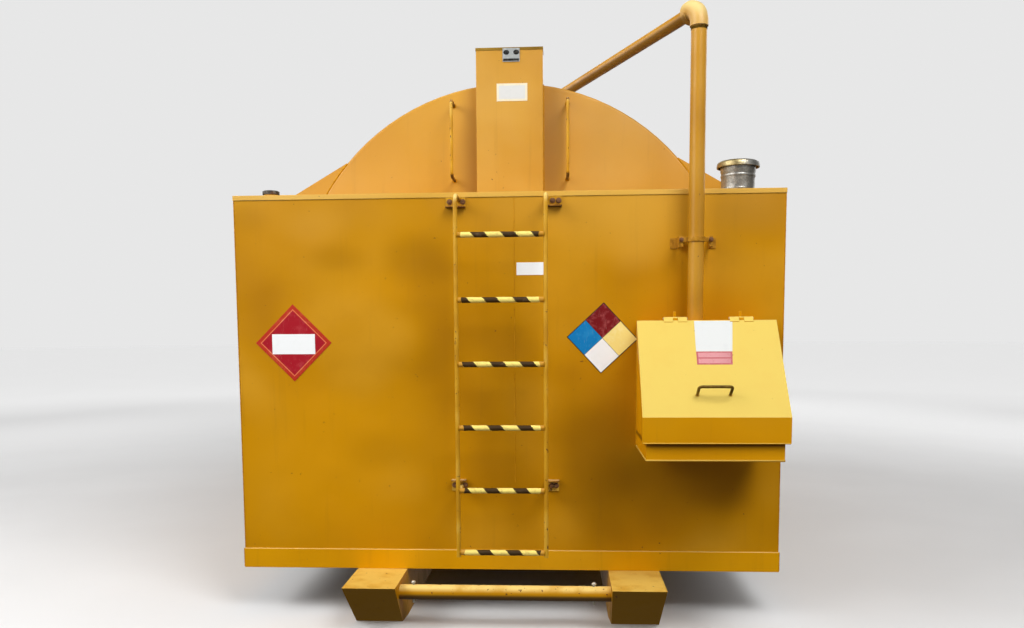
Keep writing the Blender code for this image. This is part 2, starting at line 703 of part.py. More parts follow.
def build_lid():
    """The sloped lid with its turned-down sides and front, and the handle on it."""
    hinge = (SPILL_X, FRONT_Y - HINGE_DEPTH, HINGE_Z)
    lip_y = FRONT_Y - LID_REACH
    low_x = SPILL_X - LID_HALF
    high_x = SPILL_X + LID_HALF
    corner_along = (LID_REACH - HINGE_DEPTH - LID_PLATE * math.sin(LID_ANGLE)) / math.cos(LID_ANGLE)
    corner = lid_point(corner_along, LID_PLATE)
    outline = [lid_point(LID_START, LID_PLATE), corner, (lip_y, LID_LIP_BOTTOM)]
    outline.append((lip_y + LID_LIP_CORNER[0], LID_LIP_BOTTOM + LID_LIP_CORNER[1]))
    outline.append(lid_point(corner_along - LID_SIDE_FRONT, -LID_SIDE_LIP))
    outline.append(lid_point(LID_START + LID_SIDE_BACK, -LID_SIDE_LIP))
    outline.append(lid_point(LID_START, -LID_TOP_LIP))
    obj = add("spill_box_lid", prism(outline, 0, low_x, high_x), BRIGHT_YELLOW, hinge)
    inside_y = lip_y + LID_PLATE
    inside_along = (FRONT_Y - inside_y - HINGE_DEPTH) / math.cos(LID_ANGLE)
    below = LID_LIP_BOTTOM - LID_OVERCUT
    inner = [lid_point(-LID_OVERCUT, 0), lid_point(inside_along, 0), (inside_y, below)]
    inner += [(inside_y + 4 * LID_OVERCUT, below), lid_point(-LID_OVERCUT, -4 * LID_OVERCUT)]
    cut(obj, prism(inner, 0, low_x + LID_PLATE, high_x - LID_PLATE), "spill_box_lid_underside")
    for i, x in enumerate(KNUCKLE_X):
        near = KNUCKLE_FIXED / 2 + KNUCKLE_SPACE
        far = near + KNUCKLE_LID
        join(obj, knuckle_and_strap(x - far, x - near), "spill_box_lid_left_knuckle_" + str(i + 1))
        join(obj, knuckle_and_strap(x + near, x + far), "spill_box_lid_right_knuckle_" + str(i + 1))
    seat = LID_PLATE + GAP
    ends = []
    for x in HANDLE_X:
        ends.append(((x, *lid_point(HANDLE_ALONG, seat)), (x, *lid_point(HANDLE_ALONG, HANDLE_STANDOFF))))
    (low_end, low_corner), (high_end, high_corner) = ends
    points = [low_end] + bend(low_end, low_corner, high_corner, HANDLE_BEND)
    points += bend(low_corner, high_corner, high_end, HANDLE_BEND) + [high_end]
    add("lid_handle", sweep(bar_stations(points, HANDLE_RADIUS), 12), YELLOW, hinge, True)


def run_point(distance):
    """Return the point of the fill run's axis at a distance from the riser's axis."""
    x = RISER_X - distance * math.sin(RUN_HEADING)
    y = FRONT_Y - RISER_DEPTH + distance * math.cos(RUN_HEADING)
    return Vector((x, y, RUN_Z))


def elbow_stations(corner, first, last, first_radius, last_radius):
    """Return a quarter bend with a collar at each end, from one leg's direction to the other's."""
    start = corner + first * (ELBOW_BEND + ELBOW_LEG)
    end = corner + last * (ELBOW_BEND + ELBOW_LEG)
    collar = COLLAR_LENGTH
    stations = [(start, -first, first_radius), (start - first * collar, -first, first_radius)]
    arc = bend(start, corner, end, ELBOW_BEND, 8)
    for i in range(2, 7):
        t = i / 8
        turn = math.radians(90 * t)
        radius = first_radius + (last_radius - first_radius) * t - COLLAR_STEP
        stations.append((arc[i], -first * math.cos(turn) + last * math.sin(turn), radius))
    stations += [(end - last * collar, last, last_radius), (end, last, last_radius)]
    return stations


def build_fill_line():
    """Riser, elbow, level run and the drop to the tank's crest, with the clamp on the wall."""
    y = FRONT_Y - RISER_DEPTH
    reach = ELBOW_BEND + ELBOW_LEG
    down = Vector((0, 0, -1))
    heading = (run_point(1.0) - run_point(0.0)).normalized()
    bore = RISER_RADIUS - RISER_WALL
    top = RUN_Z - reach - GAP
    profile = [(RISER_RADIUS, RISER_BOTTOM), (RISER_RADIUS, top), (bore, top), (bore, RISER_BOTTOM)]
    pipe = turned(profile, PIPE_SIDES, upright(RISER_X, y))
    add("fill_riser", pipe, YELLOW, (RISER_X, y, 0), True)
    corner = run_point(0.0)
    stations = elbow_stations(corner, down, heading, COLLAR_RADIUS, RUN_COLLAR_RADIUS)
    run_bore = RUN_RADIUS - RUN_WALL
    add("fill_elbow", sweep(stations, PIPE_SIDES, run_bore), YELLOW, corner, True)
    far = RISER_X / math.sin(RUN_HEADING)
    run = [run_point(reach + GAP), run_point(far - reach - GAP)]
    bm = sweep(bar_stations(run, RUN_RADIUS), PIPE_SIDES, run_bore)
    add("fill_run", bm, YELLOW, run[0], True)
    corner = run_point(far)
    stations = elbow_stations(corner, -heading, down, RUN_COLLAR_RADIUS, COLLAR_RADIUS)
    crest = TANK_Z + TANK_RADIUS + GAP
    last = stations[-1][0]
    stations.append((last, down, RISER_RADIUS))
    stations.append((Vector((last.x, last.y, crest)), down, RISER_RADIUS))
    add("fill_drop", sweep(stations, PIPE_SIDES, run_bore), YELLOW, corner, True)


def clamp_leg_outline(side):
    """Return the plan of one bent leg: a foot on the wall, a web, and a flange that the strap bolts to."""
    y = FRONT_Y - RISER_DEPTH
    wall_face = FRONT_Y - GAP
    near = CLAMP_LEG_X - CLAMP_PLATE
    outline = [(CLAMP_LEG_X + CLAMP_FOOT, wall_face), (near, wall_face), (near, y + CLAMP_PLATE)]
    outline += [(CLAMP_LEG_X - CLAMP_EAR, y + CLAMP_PLATE), (CLAMP_LEG_X - CLAMP_EAR, y)]
    outline += [(CLAMP_LEG_X, y), (CLAMP_LEG_X, wall_face - CLAMP_PLATE)]
    outline.append((CLAMP_LEG_X + CLAMP_FOOT, wall_face - CLAMP_PLATE))
    return [(RISER_X + side * x, depth) for x, depth in outline]


def build_riser_clamp():
    """A strap round the riser whose two ears are bolted to bent legs on the wall."""
    y = FRONT_Y - RISER_DEPTH
    low = CLAMP_Z - CLAMP_HEIGHT / 2
    high = CLAMP_Z + CLAMP_HEIGHT / 2
    inner = RISER_RADIUS + GAP
    outer = inner + CLAMP_BAND
    reach = CLAMP_LEG_X - WELD
    ears = box((RISER_X - reach, y + WELD - CLAMP_BAND, low), (RISER_X + reach, y + WELD, high))
    obj = add("riser_clamp", ears, YELLOW)
    place = upright(RISER_X, y)
    band = [(0, low), (outer, low), (outer, high), (0, high)]
    join(obj, turned(band, PIPE_SIDES, place), "riser_clamp_band")
    for side in (-1, 1):
        leg = prism(clamp_leg_outline(side), 2, CLAMP_LEG_LOW, CLAMP_LEG_HIGH)
        join(obj, leg, "riser_clamp_leg_" + ("left" if side < 0 else "right"))
    below = low - OVERCUT
    above = high + OVERCUT
    hole = turned([(0, below), (inner, below), (inner, above), (0, above)], PIPE_SIDES, place)
    cut(obj, hole, "riser_clamp_hole")


def build_deck_fittings():
    """The emergency vent with its loose cap, and the monitor stub with its plug."""
    x, y = VENT_POS[0], FRONT_Y + VENT_POS[1]
    foot = DECK_TOP + GAP
    inner = VENT_RADIUS - VENT_WALL
    spread, foot_edge, foot_top = VENT_FOOT
    neck = VENT_RADIUS - VENT_NECK
    profile = [(VENT_RADIUS + spread, foot), (VENT_RADIUS + spread, foot + foot_edge)]
    profile += [(neck, foot + foot_top), (neck, VENT_SKIRT - VENT_NECK_TOP)]
    profile += [(VENT_RADIUS, VENT_SKIRT - VENT_RIM_FOOT), (VENT_RADIUS, VENT_TOP)]
    profile += [(inner, VENT_TOP), (inner, foot)]
    body = turned(profile, VENT_SIDES, upright(x, y))
    add("vent_body", body, GALVANISED, (x, y, foot), True)
    cap = VENT_CAP_RADIUS
    seat = VENT_TOP + GAP
    skirt = cap - VENT_CAP_SKIRT
    profile = [(0, seat), (skirt, seat), (skirt, VENT_SKIRT), (cap, VENT_SKIRT)]
    profile += [(cap - inset, VENT_CAP_TOP - drop) for inset, drop in VENT_CAP_EDGE]
    profile.append((0, VENT_CAP_TOP))
    lid = turned(profile, VENT_SIDES, upright(x, y))
    add("vent_cap", lid, GALVANISED, (x, y, seat), True)
    x, y = PLUG_POS[0], FRONT_Y + PLUG_POS[1]
    stub = [(0, foot), (PLUG_RADIUS, foot), (PLUG_RADIUS, PLUG_SPLIT), (0, PLUG_SPLIT)]
    pipe = turned(stub, PIPE_SIDES, upright(x, y))
    add("monitor_stub", pipe, YELLOW, (x, y, foot), True)
    low = PLUG_SPLIT + GAP
    top = [(PLUG_CAP_RADIUS, PLUG_TOP - PLUG_EDGE), (PLUG_CAP_RADIUS - PLUG_EDGE, PLUG_TOP)]
    profile = [(0, low), (PLUG_CAP_RADIUS, low)] + top + [(0, PLUG_TOP)]
    plug = turned(profile, PIPE_SIDES, upright(x, y))
    add("monitor_plug", plug, DARK, (x, y, low), True)


def main():
    """Build every piece from the ground up."""
    clear_scene()
    build_skid("skid_left", -1)
    build_skid("skid_right", 1)
    build_tow_pipe("tow_pipe_front", FRONT_Y - TOW_AHEAD)
    build_tow_pipe("tow_pipe_rear", REAR_Y + TOW_AHEAD)
    build_base_frame()
    build_box()
    build_end_deck("front_deck", FRONT_Y, 1)
    build_end_deck("rear_deck", REAR_Y, -1)
    build_side_deck("side_deck_left", -1)
    build_side_deck("side_deck_right", 1)
    build_tank()
    build_gauge_housing()
    build_grab_rail("grab_rail_left", -GRAB_X)
    build_grab_rail("grab_rail_right", GRAB_X)
    build_ladder_rail("ladder_rail_left", 0)
    build_ladder_rail("ladder_rail_right", 1)
    for index in range(RUNGS):
        build_rung(index)
    build_spill_box()
    build_lid()
    build_fill_line()
    build_riser_clamp()
    build_deck_fittings()


main()
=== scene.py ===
"""Looks of the skid-mounted storage tank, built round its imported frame.

Each sub-assembly is a class that dresses its own CAD nodes and adds the small things that the
solids leave out: welds, bolts, wound tape, plates, labels and pins. Units are metres in the row
frame: +X to the right of someone facing the ladder, +Y to the back, +Z up.
"""

from __future__ import annotations

import json
import logging
import math
from abc import ABC, abstractmethod
from collections.abc import Callable, Iterable, Sequence
from dataclasses import dataclass, replace
from enum import Enum

import bmesh
import bpy
from mathutils import Matrix, Vector

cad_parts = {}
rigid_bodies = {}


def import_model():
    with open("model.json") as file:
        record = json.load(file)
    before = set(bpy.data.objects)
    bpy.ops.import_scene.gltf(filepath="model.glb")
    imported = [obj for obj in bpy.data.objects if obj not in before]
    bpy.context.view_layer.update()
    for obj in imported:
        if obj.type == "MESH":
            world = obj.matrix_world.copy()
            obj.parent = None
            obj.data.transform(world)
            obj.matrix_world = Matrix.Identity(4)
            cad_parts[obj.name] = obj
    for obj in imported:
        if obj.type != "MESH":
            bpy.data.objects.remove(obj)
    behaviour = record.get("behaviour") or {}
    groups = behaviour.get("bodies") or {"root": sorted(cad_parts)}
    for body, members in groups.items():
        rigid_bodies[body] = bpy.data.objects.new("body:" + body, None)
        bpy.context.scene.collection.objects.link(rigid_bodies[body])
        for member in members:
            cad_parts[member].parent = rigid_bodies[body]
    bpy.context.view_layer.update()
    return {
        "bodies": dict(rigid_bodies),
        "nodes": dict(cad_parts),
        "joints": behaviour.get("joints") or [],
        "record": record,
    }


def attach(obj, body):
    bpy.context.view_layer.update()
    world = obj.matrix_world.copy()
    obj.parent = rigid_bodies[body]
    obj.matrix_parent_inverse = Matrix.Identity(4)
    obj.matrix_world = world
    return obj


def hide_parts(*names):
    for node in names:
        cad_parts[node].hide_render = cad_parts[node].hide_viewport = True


Color = tuple[float, float, float]
Point = tuple[float, float, float]
Pair = tuple[float, float]
Edges = tuple[float, float, float, float]
Path = list[Point]
Socket = bpy.types.NodeSocket
Value = Socket | float | Point

# Places that several sub-assemblies share
FRONT_Y = -2.615
REAR_Y = 2.785
HALF_WIDTH = 1.35
DECK_TOP = 2.12
CHANNEL_TOP = 0.34
TANK_FRONT = FRONT_Y + 0.55
TANK_REAR = REAR_Y - 0.55
TANK_RADIUS = 1.21
TANK_Z = 1.576
RISER_X = 0.910
RISER_OUT = 0.100

# Directions
UP = (0, 0, 1)
BACK = (0, 1, 0)
FORWARD = Vector((0, -1, 0))

# How the CAD nodes are merged and shaded
MERGE_DISTANCE = 0.00002
FLAT_DEGREES = 0.5
SHARP_DEGREES = 32.0

# How deep a bead's line lies in a face, and how much wider a ring's line is than its pipe
SUNK = 0.001
RING_OUT = 0.001

# A label's gap, sheet and print, and the least step between two layers
STUCK_ON = 0.0002
LABEL_SHEET = 0.0012
FILM = 0.0004
STEP = 0.0001

# Shares that round a plate's front edges and a rod's ends
SHOULDER = 0.7
BEVEL = 0.45
DOME = 0.6
ROD_SIDES = 14

log = logging.getLogger("storage_tank")


class Body(Enum):
    """Bodies of the frame that a piece can ride on."""

    TANK = "tank"
    LID = "lid"
    VENT_CAP = "vent_cap"


class Slot(Enum):
    """Material slots of the record."""

    PAINT = "tank_yellow"
    LID = "lid_yellow"
    HANDLE = "handle_yellow"
    TAPE = "hazard_tape"
    ZINC = "galvanised"
    PLUG = "plug_black"


def fill(tree: bpy.types.NodeTree, socket: Socket, value: object) -> None:
    """Link an input to another socket, or set its value.

    Args:
        tree: Tree that holds both.
        socket: The input to fill.
        value: A socket to read, a number, a vector or a colour without its alpha.
    """
    if isinstance(value, Socket):
        tree.links.new(value, socket)
    elif socket.type == "RGBA":
        socket.default_value = (*value, 1.0)
    else:
        socket.default_value = value


def add_node(
    tree: bpy.types.NodeTree,
    kind: str,
    inputs: dict[str | int, object] | None = None,
    **settings: object,
) -> bpy.types.Node:
    """Add a node to a tree.

    Args:
        tree: Tree to add to.
        kind: Type of the node.
        inputs: Sockets or values by input name or index.
        **settings: Properties of the node, which are set before its inputs.

    Returns:
        The node.
    """
    node = tree.nodes.new(kind)
    for name, value in settings.items():
        setattr(node, name, value)
    for key, value in (inputs or {}).items():
        fill(tree, node.inputs[key], value)
    return node


def map_range(tree: bpy.types.NodeTree, *values: Value, **settings: str) -> Socket:
    """Add a node that maps one range onto another.

    Args:
        tree: Tree to add to.
        *values: The value, its two ends and the two results, as sockets or numbers.
        **settings: Properties of the node.

    Returns:
        The value socket.
    """
    return add_node(tree, "ShaderNodeMapRange", dict(enumerate(values)), **settings).outputs[0]


class Graph:
    """Adds the nodes of one material; each call returns the socket that the next one reads."""

    def __init__(self, name: str) -> None:
        """Start a material that has its Principled shader and its own coordinates."""
        self.material = bpy.data.materials.new(name)
        self.material.use_nodes = True
        self.tree = self.material.node_tree
        self.shader = self.tree.nodes["Principled BSDF"]
        coords = self.tree.nodes.new("ShaderNodeTexCoord")
        self.place = coords.outputs["Object"]
        self.normal = coords.outputs["Normal"]
        self.uv = coords.outputs["UV"]

    def stretched(self, scale: Point) -> Socket:
        """Return the object's own coordinates, scaled by a factor along each axis."""
        inputs = {"Vector": self.place, "Scale": scale}
        return add_node(self.tree, "ShaderNodeMapping", inputs).outputs["Vector"]

    def noise(
        self, scale: float, detail: float = 2.0, rough: float = 0.5, vector: Socket | None = None
    ) -> Socket:
        """Return smooth noise between 0 and 1.

        Args:
            scale: Features per metre, about.
            detail: Octaves of finer noise.
            rough: Weight of the finer octaves.
            vector: Coordinates to read; the object's own where it is left out.

        Returns:
            The value socket.
        """
        vector = vector or self.place
        inputs = {"Vector": vector, "Scale": scale, "Detail": detail, "Roughness": rough}
        return add_node(self.tree, "ShaderNodeTexNoise", inputs).outputs["Fac"]

    def cells(self, scale: float) -> Socket:
        """Return the random colours of a cell pattern in the object's own coordinates."""
        inputs = {"Vector": self.place, "Scale": scale}
        return add_node(self.tree, "ShaderNodeTexVoronoi", inputs).outputs["Color"]

    def number(self, operation: str, first: Value, second: Value = 0.0) -> Socket:
        """Return the result of one sum on two numbers.

        Args:
            operation: Name of the Math node's operation.
            first: A socket or a number.
            second: A socket or a number.

        Returns:
            The value socket.
        """
        inputs = {0: first, 1: second}
        return add_node(self.tree, "ShaderNodeMath", inputs, operation=operation).outputs[0]

    def reach(self, first: Value, second: Value) -> Socket:
        """Return the length of a vector from its two components."""
        squares = [self.number("POWER", side, 2.0) for side in (first, second)]
        return self.number("SQRT", self.number("ADD", *squares))

    def span(
        self, value: Value, low: float, high: float, first: float = 0.0, last: float = 1.0
    ) -> Socket:
        """Map a range of a value smoothly onto another range, and hold it there.

        Args:
            value: Socket to read.
            low: Value that gives first.
            high: Value that gives last.
            first: Result at low.
            last: Result at high.

        Returns:
            The value socket.
        """
        values = (value, low, high, first, last)
        return map_range(self.tree, *values, interpolation_type="SMOOTHSTEP")

    def ramp(self, value: Value, stops: Sequence[tuple[float, Color]]) -> Socket:
        """Turn a value into colours.

        Args:
            value: Socket to read.
            stops: Pairs of a place from 0 to 1 and its colour.

        Returns:
            The colour socket.
        """
        node = add_node(self.tree, "ShaderNodeValToRGB", {"Fac": value})
        elements = node.color_ramp.elements
        while len(elements) < len(stops):
            elements.new(0.5)
        for element, (place, color) in zip(elements, stops):
            element.position = place
            element.color = (*color, 1.0)
        return node.outputs["Color"]

    def blend(self, share: Value, first: Value, second: Value) -> Socket:
        """Mix two colours.

        Args:
            share: Weight of the second colour.
            first: Colour or socket.
            second: Colour or socket.

        Returns:
            The colour socket.
        """
        inputs = {0: share, 6: first, 7: second}
        return add_node(self.tree, "ShaderNodeMix", inputs, data_type="RGBA").outputs[2]

    def part(self, vector: Socket, axis: str) -> Socket:
        """Return one component of a vector."""
        return add_node(self.tree, "ShaderNodeSeparateXYZ", {0: vector}).outputs[axis]

    def bump(self, height: Socket, distance: float, below: Socket | None = None) -> Socket:
        """Return a normal that a height field bends.

        Args:
            height: Socket from 0 to 1.
            distance: Real height in metres that 1 stands for.
            below: Normal of the coarser relief under this one.

        Returns:
            The normal socket.
        """
        inputs = {"Height": height, "Distance": distance}
        if below is not None:
            inputs["Normal"] = below
        return add_node(self.tree, "ShaderNodeBump", inputs).outputs["Normal"]

    def finish(self, **sockets: Value) -> bpy.types.Material:
        """Fill the shader's inputs and return the material.

        Args:
            **sockets: Inputs of the shader, with _ for a space in their names.

        Returns:
            The finished material.
        """
        for name, value in sockets.items():
            fill(self.tree, self.shader.inputs[name.replace("_", " ")], value)
        return self.material


@dataclass(frozen=True)
class Finish(ABC):
    """A named look that can make its own material."""

    name: str

    @abstractmethod
    def make(self) -> bpy.types.Material:
        """Build the material.

        Returns:
            The material.
        """


@dataclass(frozen=True)
class Blot:
    """A soft patch on an upright plate, for painted light and shade: its middle, half sizes and
    strength; a pale tone paints a highlight, a dark one shade.
    """

    x: float
    z: float
    wide: float
    tall: float
    share: float
    # The default tone is the dark of painted shade
    tone: Color = (0.230, 0.096, 0.0006)


@dataclass(frozen=True)
class Paint(Finish):
    """Industrial enamel over rolled plate, with patches, runs, splash grime, chips and peel; it
    also paints light: a pale tone on upward faces that is dust and painted sheen, painted shade on
    faces that look down, and blots of painted light and shade.
    """

    tone: Color = (0.530, 0.235, 0.0012)
    deep: Color = (0.470, 0.200, 0.0010)
    pale: Color = (0.575, 0.268, 0.0080)
    # The pale tone is dust on upward faces and, where it is spread thickly, a painted sky
    # highlight; the dark tone after it colours splashes and runs, and the painted shade on faces
    # that look down.
    dust_and_sheen: Color = (0.680, 0.430, 0.120)
    soil_and_shade: Color = (0.105, 0.056, 0.016)
    rust: Color = (0.100, 0.034, 0.012)
    patches: float = 1.5
    stops: tuple[float, float, float] = (0.34, 0.50, 0.68)
    mottling: float = 11.0
    mottled: float = 0.12
    fray: float = 0.18
    grain: float = 46.0
    grain_edge: float = 0.012
    run_stretch: Point = (26.0, 26.0, 1.3)
    run_share: float = 0.10
    waves: float = 2.3
    waviness: float = 0.012
    dents: float = 9.0
    dent_share: float = 0.10
    peel_scale: float = 420.0
    peel: float = 0.00012
    pit_depth: float = 0.0003
    roughness: float = 0.36
    gloss: float = 0.10
    # How much of the pale tone upward faces take, over which facing range, and how little at least;
    # high shares paint a sky highlight as well as dust.
    dust_and_sheen_amount: float = 0.40
    dust_and_sheen_from: float = 0.60
    dust_and_sheen_to: float = 0.98
    dust_and_sheen_least: float = 0.35
    dust_roughness: float = 0.25
    soil_top: float = 0.30
    soiled: float = 0.75
    # Painted shade: how strongly faces that look down are darkened, and over which facing range.
    under: float = 0.0
    under_from: float = -0.15
    under_to: float = -0.60
    chipped: float = 0.705
    blots: tuple[Blot, ...] = ()

    def make(self) -> bpy.types.Material:
        """Build the material.

        Returns:
            The material.
        """
        graph = Graph(self.name)
        mottle = graph.noise(self.mottling, 5.0, 0.6)
        facing = graph.part(graph.normal, "Z")
        dust_and_sheen_share = self.dust_and_sheen_share(graph, facing, mottle)
        chips = self.chips(graph)
        # Upward faces take the pale dust-and-sheen tone; splashes, runs and the painted shade of
        # downward faces take the dark tone.
        color = graph.blend(dust_and_sheen_share, self.coat(graph, mottle), self.dust_and_sheen)
        color = graph.blend(self.grime_and_shade(graph, facing, mottle), color, self.soil_and_shade)
        color = graph.blend(chips, color, self.rust)
        rough = graph.span(mottle, 0.30, 0.70, self.roughness - 0.06, self.roughness + 0.08)
        duller = graph.number("MULTIPLY", dust_and_sheen_share, self.dust_roughness)
        return graph.finish(
            Base_Color=color,
            Roughness=graph.number("ADD", rough, duller),
            Normal=self.relief(graph, chips),
            Specular_IOR_Level=self.gloss,
        )

    def coat(self, graph: Graph, mottle: Socket) -> Socket:
        """Lay the paint's colours: slow patches, mottling and thin runs, and blots of painted light
        and shade.

        Args:
            graph: Material to add to.
            mottle: Middling noise that the whole finish shares.

        Returns:
            The colour socket.
        """
        patches = graph.noise(self.patches, 1.4, 0.45)
        tones = (self.deep, self.tone, self.pale)
        color = graph.ramp(patches, list(zip(self.stops, tones)))
        color = graph.blend(graph.span(mottle, 0.45, 0.75, 0.0, self.mottled), color, self.deep)
        # Blots of painted highlight and painted shade
        for blot in self.blots:
            color = self.add_blot(graph, color, patches, blot)
        runs = graph.noise(1.0, 4.0, 0.6, graph.stretched(self.run_stretch))
        return graph.blend(graph.span(runs, 0.56, 0.78, 0.0, self.run_share), color, self.soil_and_shade)

    def dust_and_sheen_share(self, graph: Graph, facing: Socket, mottle: Socket) -> Socket:
        """Spread the pale tone unevenly over faces that look up: dust, and where its share is high,
        a painted sky highlight.

        Args:
            graph: Material to add to.
            facing: How far a face looks up, from -1 to 1.
            mottle: Middling noise that the whole finish shares.

        Returns:
            The share of dust.
        """
        upward = graph.span(facing, self.dust_and_sheen_from, self.dust_and_sheen_to, 0.0, self.dust_and_sheen_amount)
        uneven = graph.span(mottle, 0.25, 0.60, self.dust_and_sheen_least, 1.0)
        return graph.number("MULTIPLY", upward, uneven)

    def grime_and_shade(self, graph: Graph, facing: Socket, mottle: Socket) -> Socket:
        """Spread splashes of dirt near the ground, and painted shade over faces that look down.

        Args:
            graph: Material to add to.
            facing: How far a face looks up, from -1 to 1.
            mottle: Middling noise that the whole finish shares.

        Returns:
            The share of dirt and painted shade.
        """
        height = graph.part(graph.place, "Z")
        low = graph.span(height, self.soil_top, 0.0, 0.0, self.soiled)
        splash = graph.number("MULTIPLY", low, graph.span(mottle, 0.35, 0.62))
        # Painted shade on faces that look down
        below = graph.span(facing, self.under_from, self.under_to, 0.0, self.under)
        return graph.number("MAXIMUM", splash, below)

    def chips(self, graph: Graph) -> Socket:
        """Return the share of small chips that show rusty steel."""
        grain = graph.noise(self.grain, 7.0, 0.62)
        return graph.span(grain, self.chipped, self.chipped + self.grain_edge)

    def relief(self, graph: Graph, chips: Socket) -> Socket:
        """Bend the surface: waves of the rolled plate, dents, orange peel and the chips' pits.

        Args:
            graph: Material to add to.
            chips: Share of chips.

        Returns:
            The normal socket.
        """
        wave = graph.bump(graph.noise(self.waves, 1.0, 0.4), self.waviness)
        dented = self.waviness * self.dent_share
        dents = graph.bump(graph.noise(self.dents, 1.5, 0.4), dented, wave)
        peel = graph.bump(graph.noise(self.peel_scale, 2.0, 0.5), self.peel, dents)
        pits = graph.number("SUBTRACT", 1.0, chips)
        return graph.bump(pits, self.pit_depth, peel)

    def add_blot(self, graph: Graph, color: Socket, uneven: Socket, blot: Blot) -> Socket:
        """Lay one blot of painted highlight or painted shade, as its tone gives, over the paint.

        Args:
            graph: Material to add to.
            color: Colour so far.
            uneven: Slow noise that frays the patch.
            blot: Place, size, strength and tone.

        Returns:
            The colour socket.
        """
        across = graph.number("SUBTRACT", graph.part(graph.place, "X"), blot.x)
        rise = graph.number("SUBTRACT", graph.part(graph.place, "Z"), blot.z)
        across = graph.number("DIVIDE", across, blot.wide)
        rise = graph.number("DIVIDE", rise, blot.tall)
        frayed = graph.span(uneven, 0.3, 0.7, -self.fray, self.fray)
        reach = graph.number("ADD", graph.reach(across, rise), frayed)
        return graph.blend(graph.span(reach, 1.0, 0.15, 0.0, blot.share), color, blot.tone)


@dataclass(frozen=True)
class WoundTape(Finish):
    """Black and yellow tape whose slanted bands follow the wrap's own coordinates."""

    name: str = "hazard_tape"
    yellow: Color = (0.930, 0.740, 0.190)
    black: Color = (0.048, 0.024, 0.005)
    yellow_worn: Color = (0.42, 0.27, 0.07)
    black_worn: Color = (0.16, 0.10, 0.05)
    slant: float = 5.6
    dark_share: float = 0.235
    ragged: float = 0.012
    crease_stretch: Point = (60.0, 240.0, 240.0)
    crease_depth: float = 0.0006
    gloss: float = 0.2

    def make(self) -> bpy.types.Material:
        """Build the material, whose U counts band pairs and whose V counts metres round the bar.

        Returns:
            The material.
        """
        graph = Graph(self.name)
        along = graph.part(graph.uv, "X")
        around = graph.number("MULTIPLY", graph.part(graph.uv, "Y"), self.slant)
        place = graph.number("FRACT", graph.number("ADD", graph.number("ADD", along, around), 0.5))
        middle = graph.number("ABSOLUTE", graph.number("SUBTRACT", place, 0.5))
        ragged = graph.noise(160.0, 3.0)
        shift = graph.span(ragged, 0.3, 0.7, -self.ragged, self.ragged)
        edge = graph.number("ADD", middle, shift)
        bands = graph.span(edge, self.dark_share - self.ragged, self.dark_share + self.ragged)
        wear = graph.noise(34.0, 5.0, 0.65)
        worn = graph.span(wear, 0.50, 0.72, 0.0, 0.5)
        yellow = graph.blend(worn, self.yellow, self.yellow_worn)
        worn = graph.span(wear, 0.56, 0.74, 0.0, 0.6)
        black = graph.blend(worn, self.black, self.black_worn)
        color = graph.blend(bands, black, yellow)
        crease = graph.noise(1.0, 3.0, 0.5, graph.stretched(self.crease_stretch))
        return graph.finish(
            Base_Color=color,
            Roughness=graph.span(wear, 0.3, 0.7, 0.42, 0.68),
            Normal=graph.bump(crease, self.crease_depth),
            Specular_IOR_Level=self.gloss,
        )


@dataclass(frozen=True)
class Zinc(Finish):
    """Galvanised casting with spangle, tarnish and paint overspray round its foot; faces that look
    right are darkened as painted shade.
    """

    name: str = "galvanised_vent"
    bright: Color = (0.430, 0.420, 0.385)
    dull: Color = (0.300, 0.295, 0.275)
    tarnish_and_shade: Color = (0.110, 0.105, 0.085)
    overspray: Color = (0.560, 0.380, 0.080)
    paint_top: float = 2.155
    paint_fade: float = 0.022
    metallic: float = 0.85
    spray_left: float = 0.0

    def make(self) -> bpy.types.Material:
        """Build the material.

        Returns:
            The material.
        """
        graph = Graph(self.name)
        spangle = graph.part(graph.cells(170.0), "X")
        color = graph.blend(graph.span(spangle, 0.1, 0.9), self.dull, self.bright)
        cloud = graph.noise(26.0, 5.0, 0.6)
        color = graph.blend(graph.span(cloud, 0.52, 0.74, 0.0, 0.5), color, self.tarnish_and_shade)
        sideways = graph.part(graph.normal, "X")
        mist = graph.span(sideways, 0.45, -0.25, 0.0, self.spray_left)
        color = graph.blend(mist, color, self.overspray)
        # Painted shade: faces that look right are darkened towards the tarnish tone
        right_side_shade = graph.span(sideways, 0.05, 0.85, 0.0, 0.80)
        color = graph.blend(right_side_shade, color, self.tarnish_and_shade)
        height = graph.part(graph.place, "Z")
        ragged = graph.number("ADD", height, graph.span(cloud, 0, 1, -0.02, 0.02))
        sprayed = graph.span(ragged, self.paint_top, self.paint_top - self.paint_fade)
        color = graph.blend(sprayed, color, self.overspray)
        metal = graph.number("MULTIPLY", graph.number("SUBTRACT", 1.0, sprayed), self.metallic)
        rough = graph.span(cloud, 0.3, 0.7, 0.30, 0.52)
        cast = graph.bump(graph.noise(300.0, 4.0, 0.6), 0.0004)
        relief = graph.bump(graph.noise(40.0, 2.0, 0.5), 0.0012, cast)
        return graph.finish(Base_Color=color, Metallic=metal, Roughness=rough, Normal=relief)


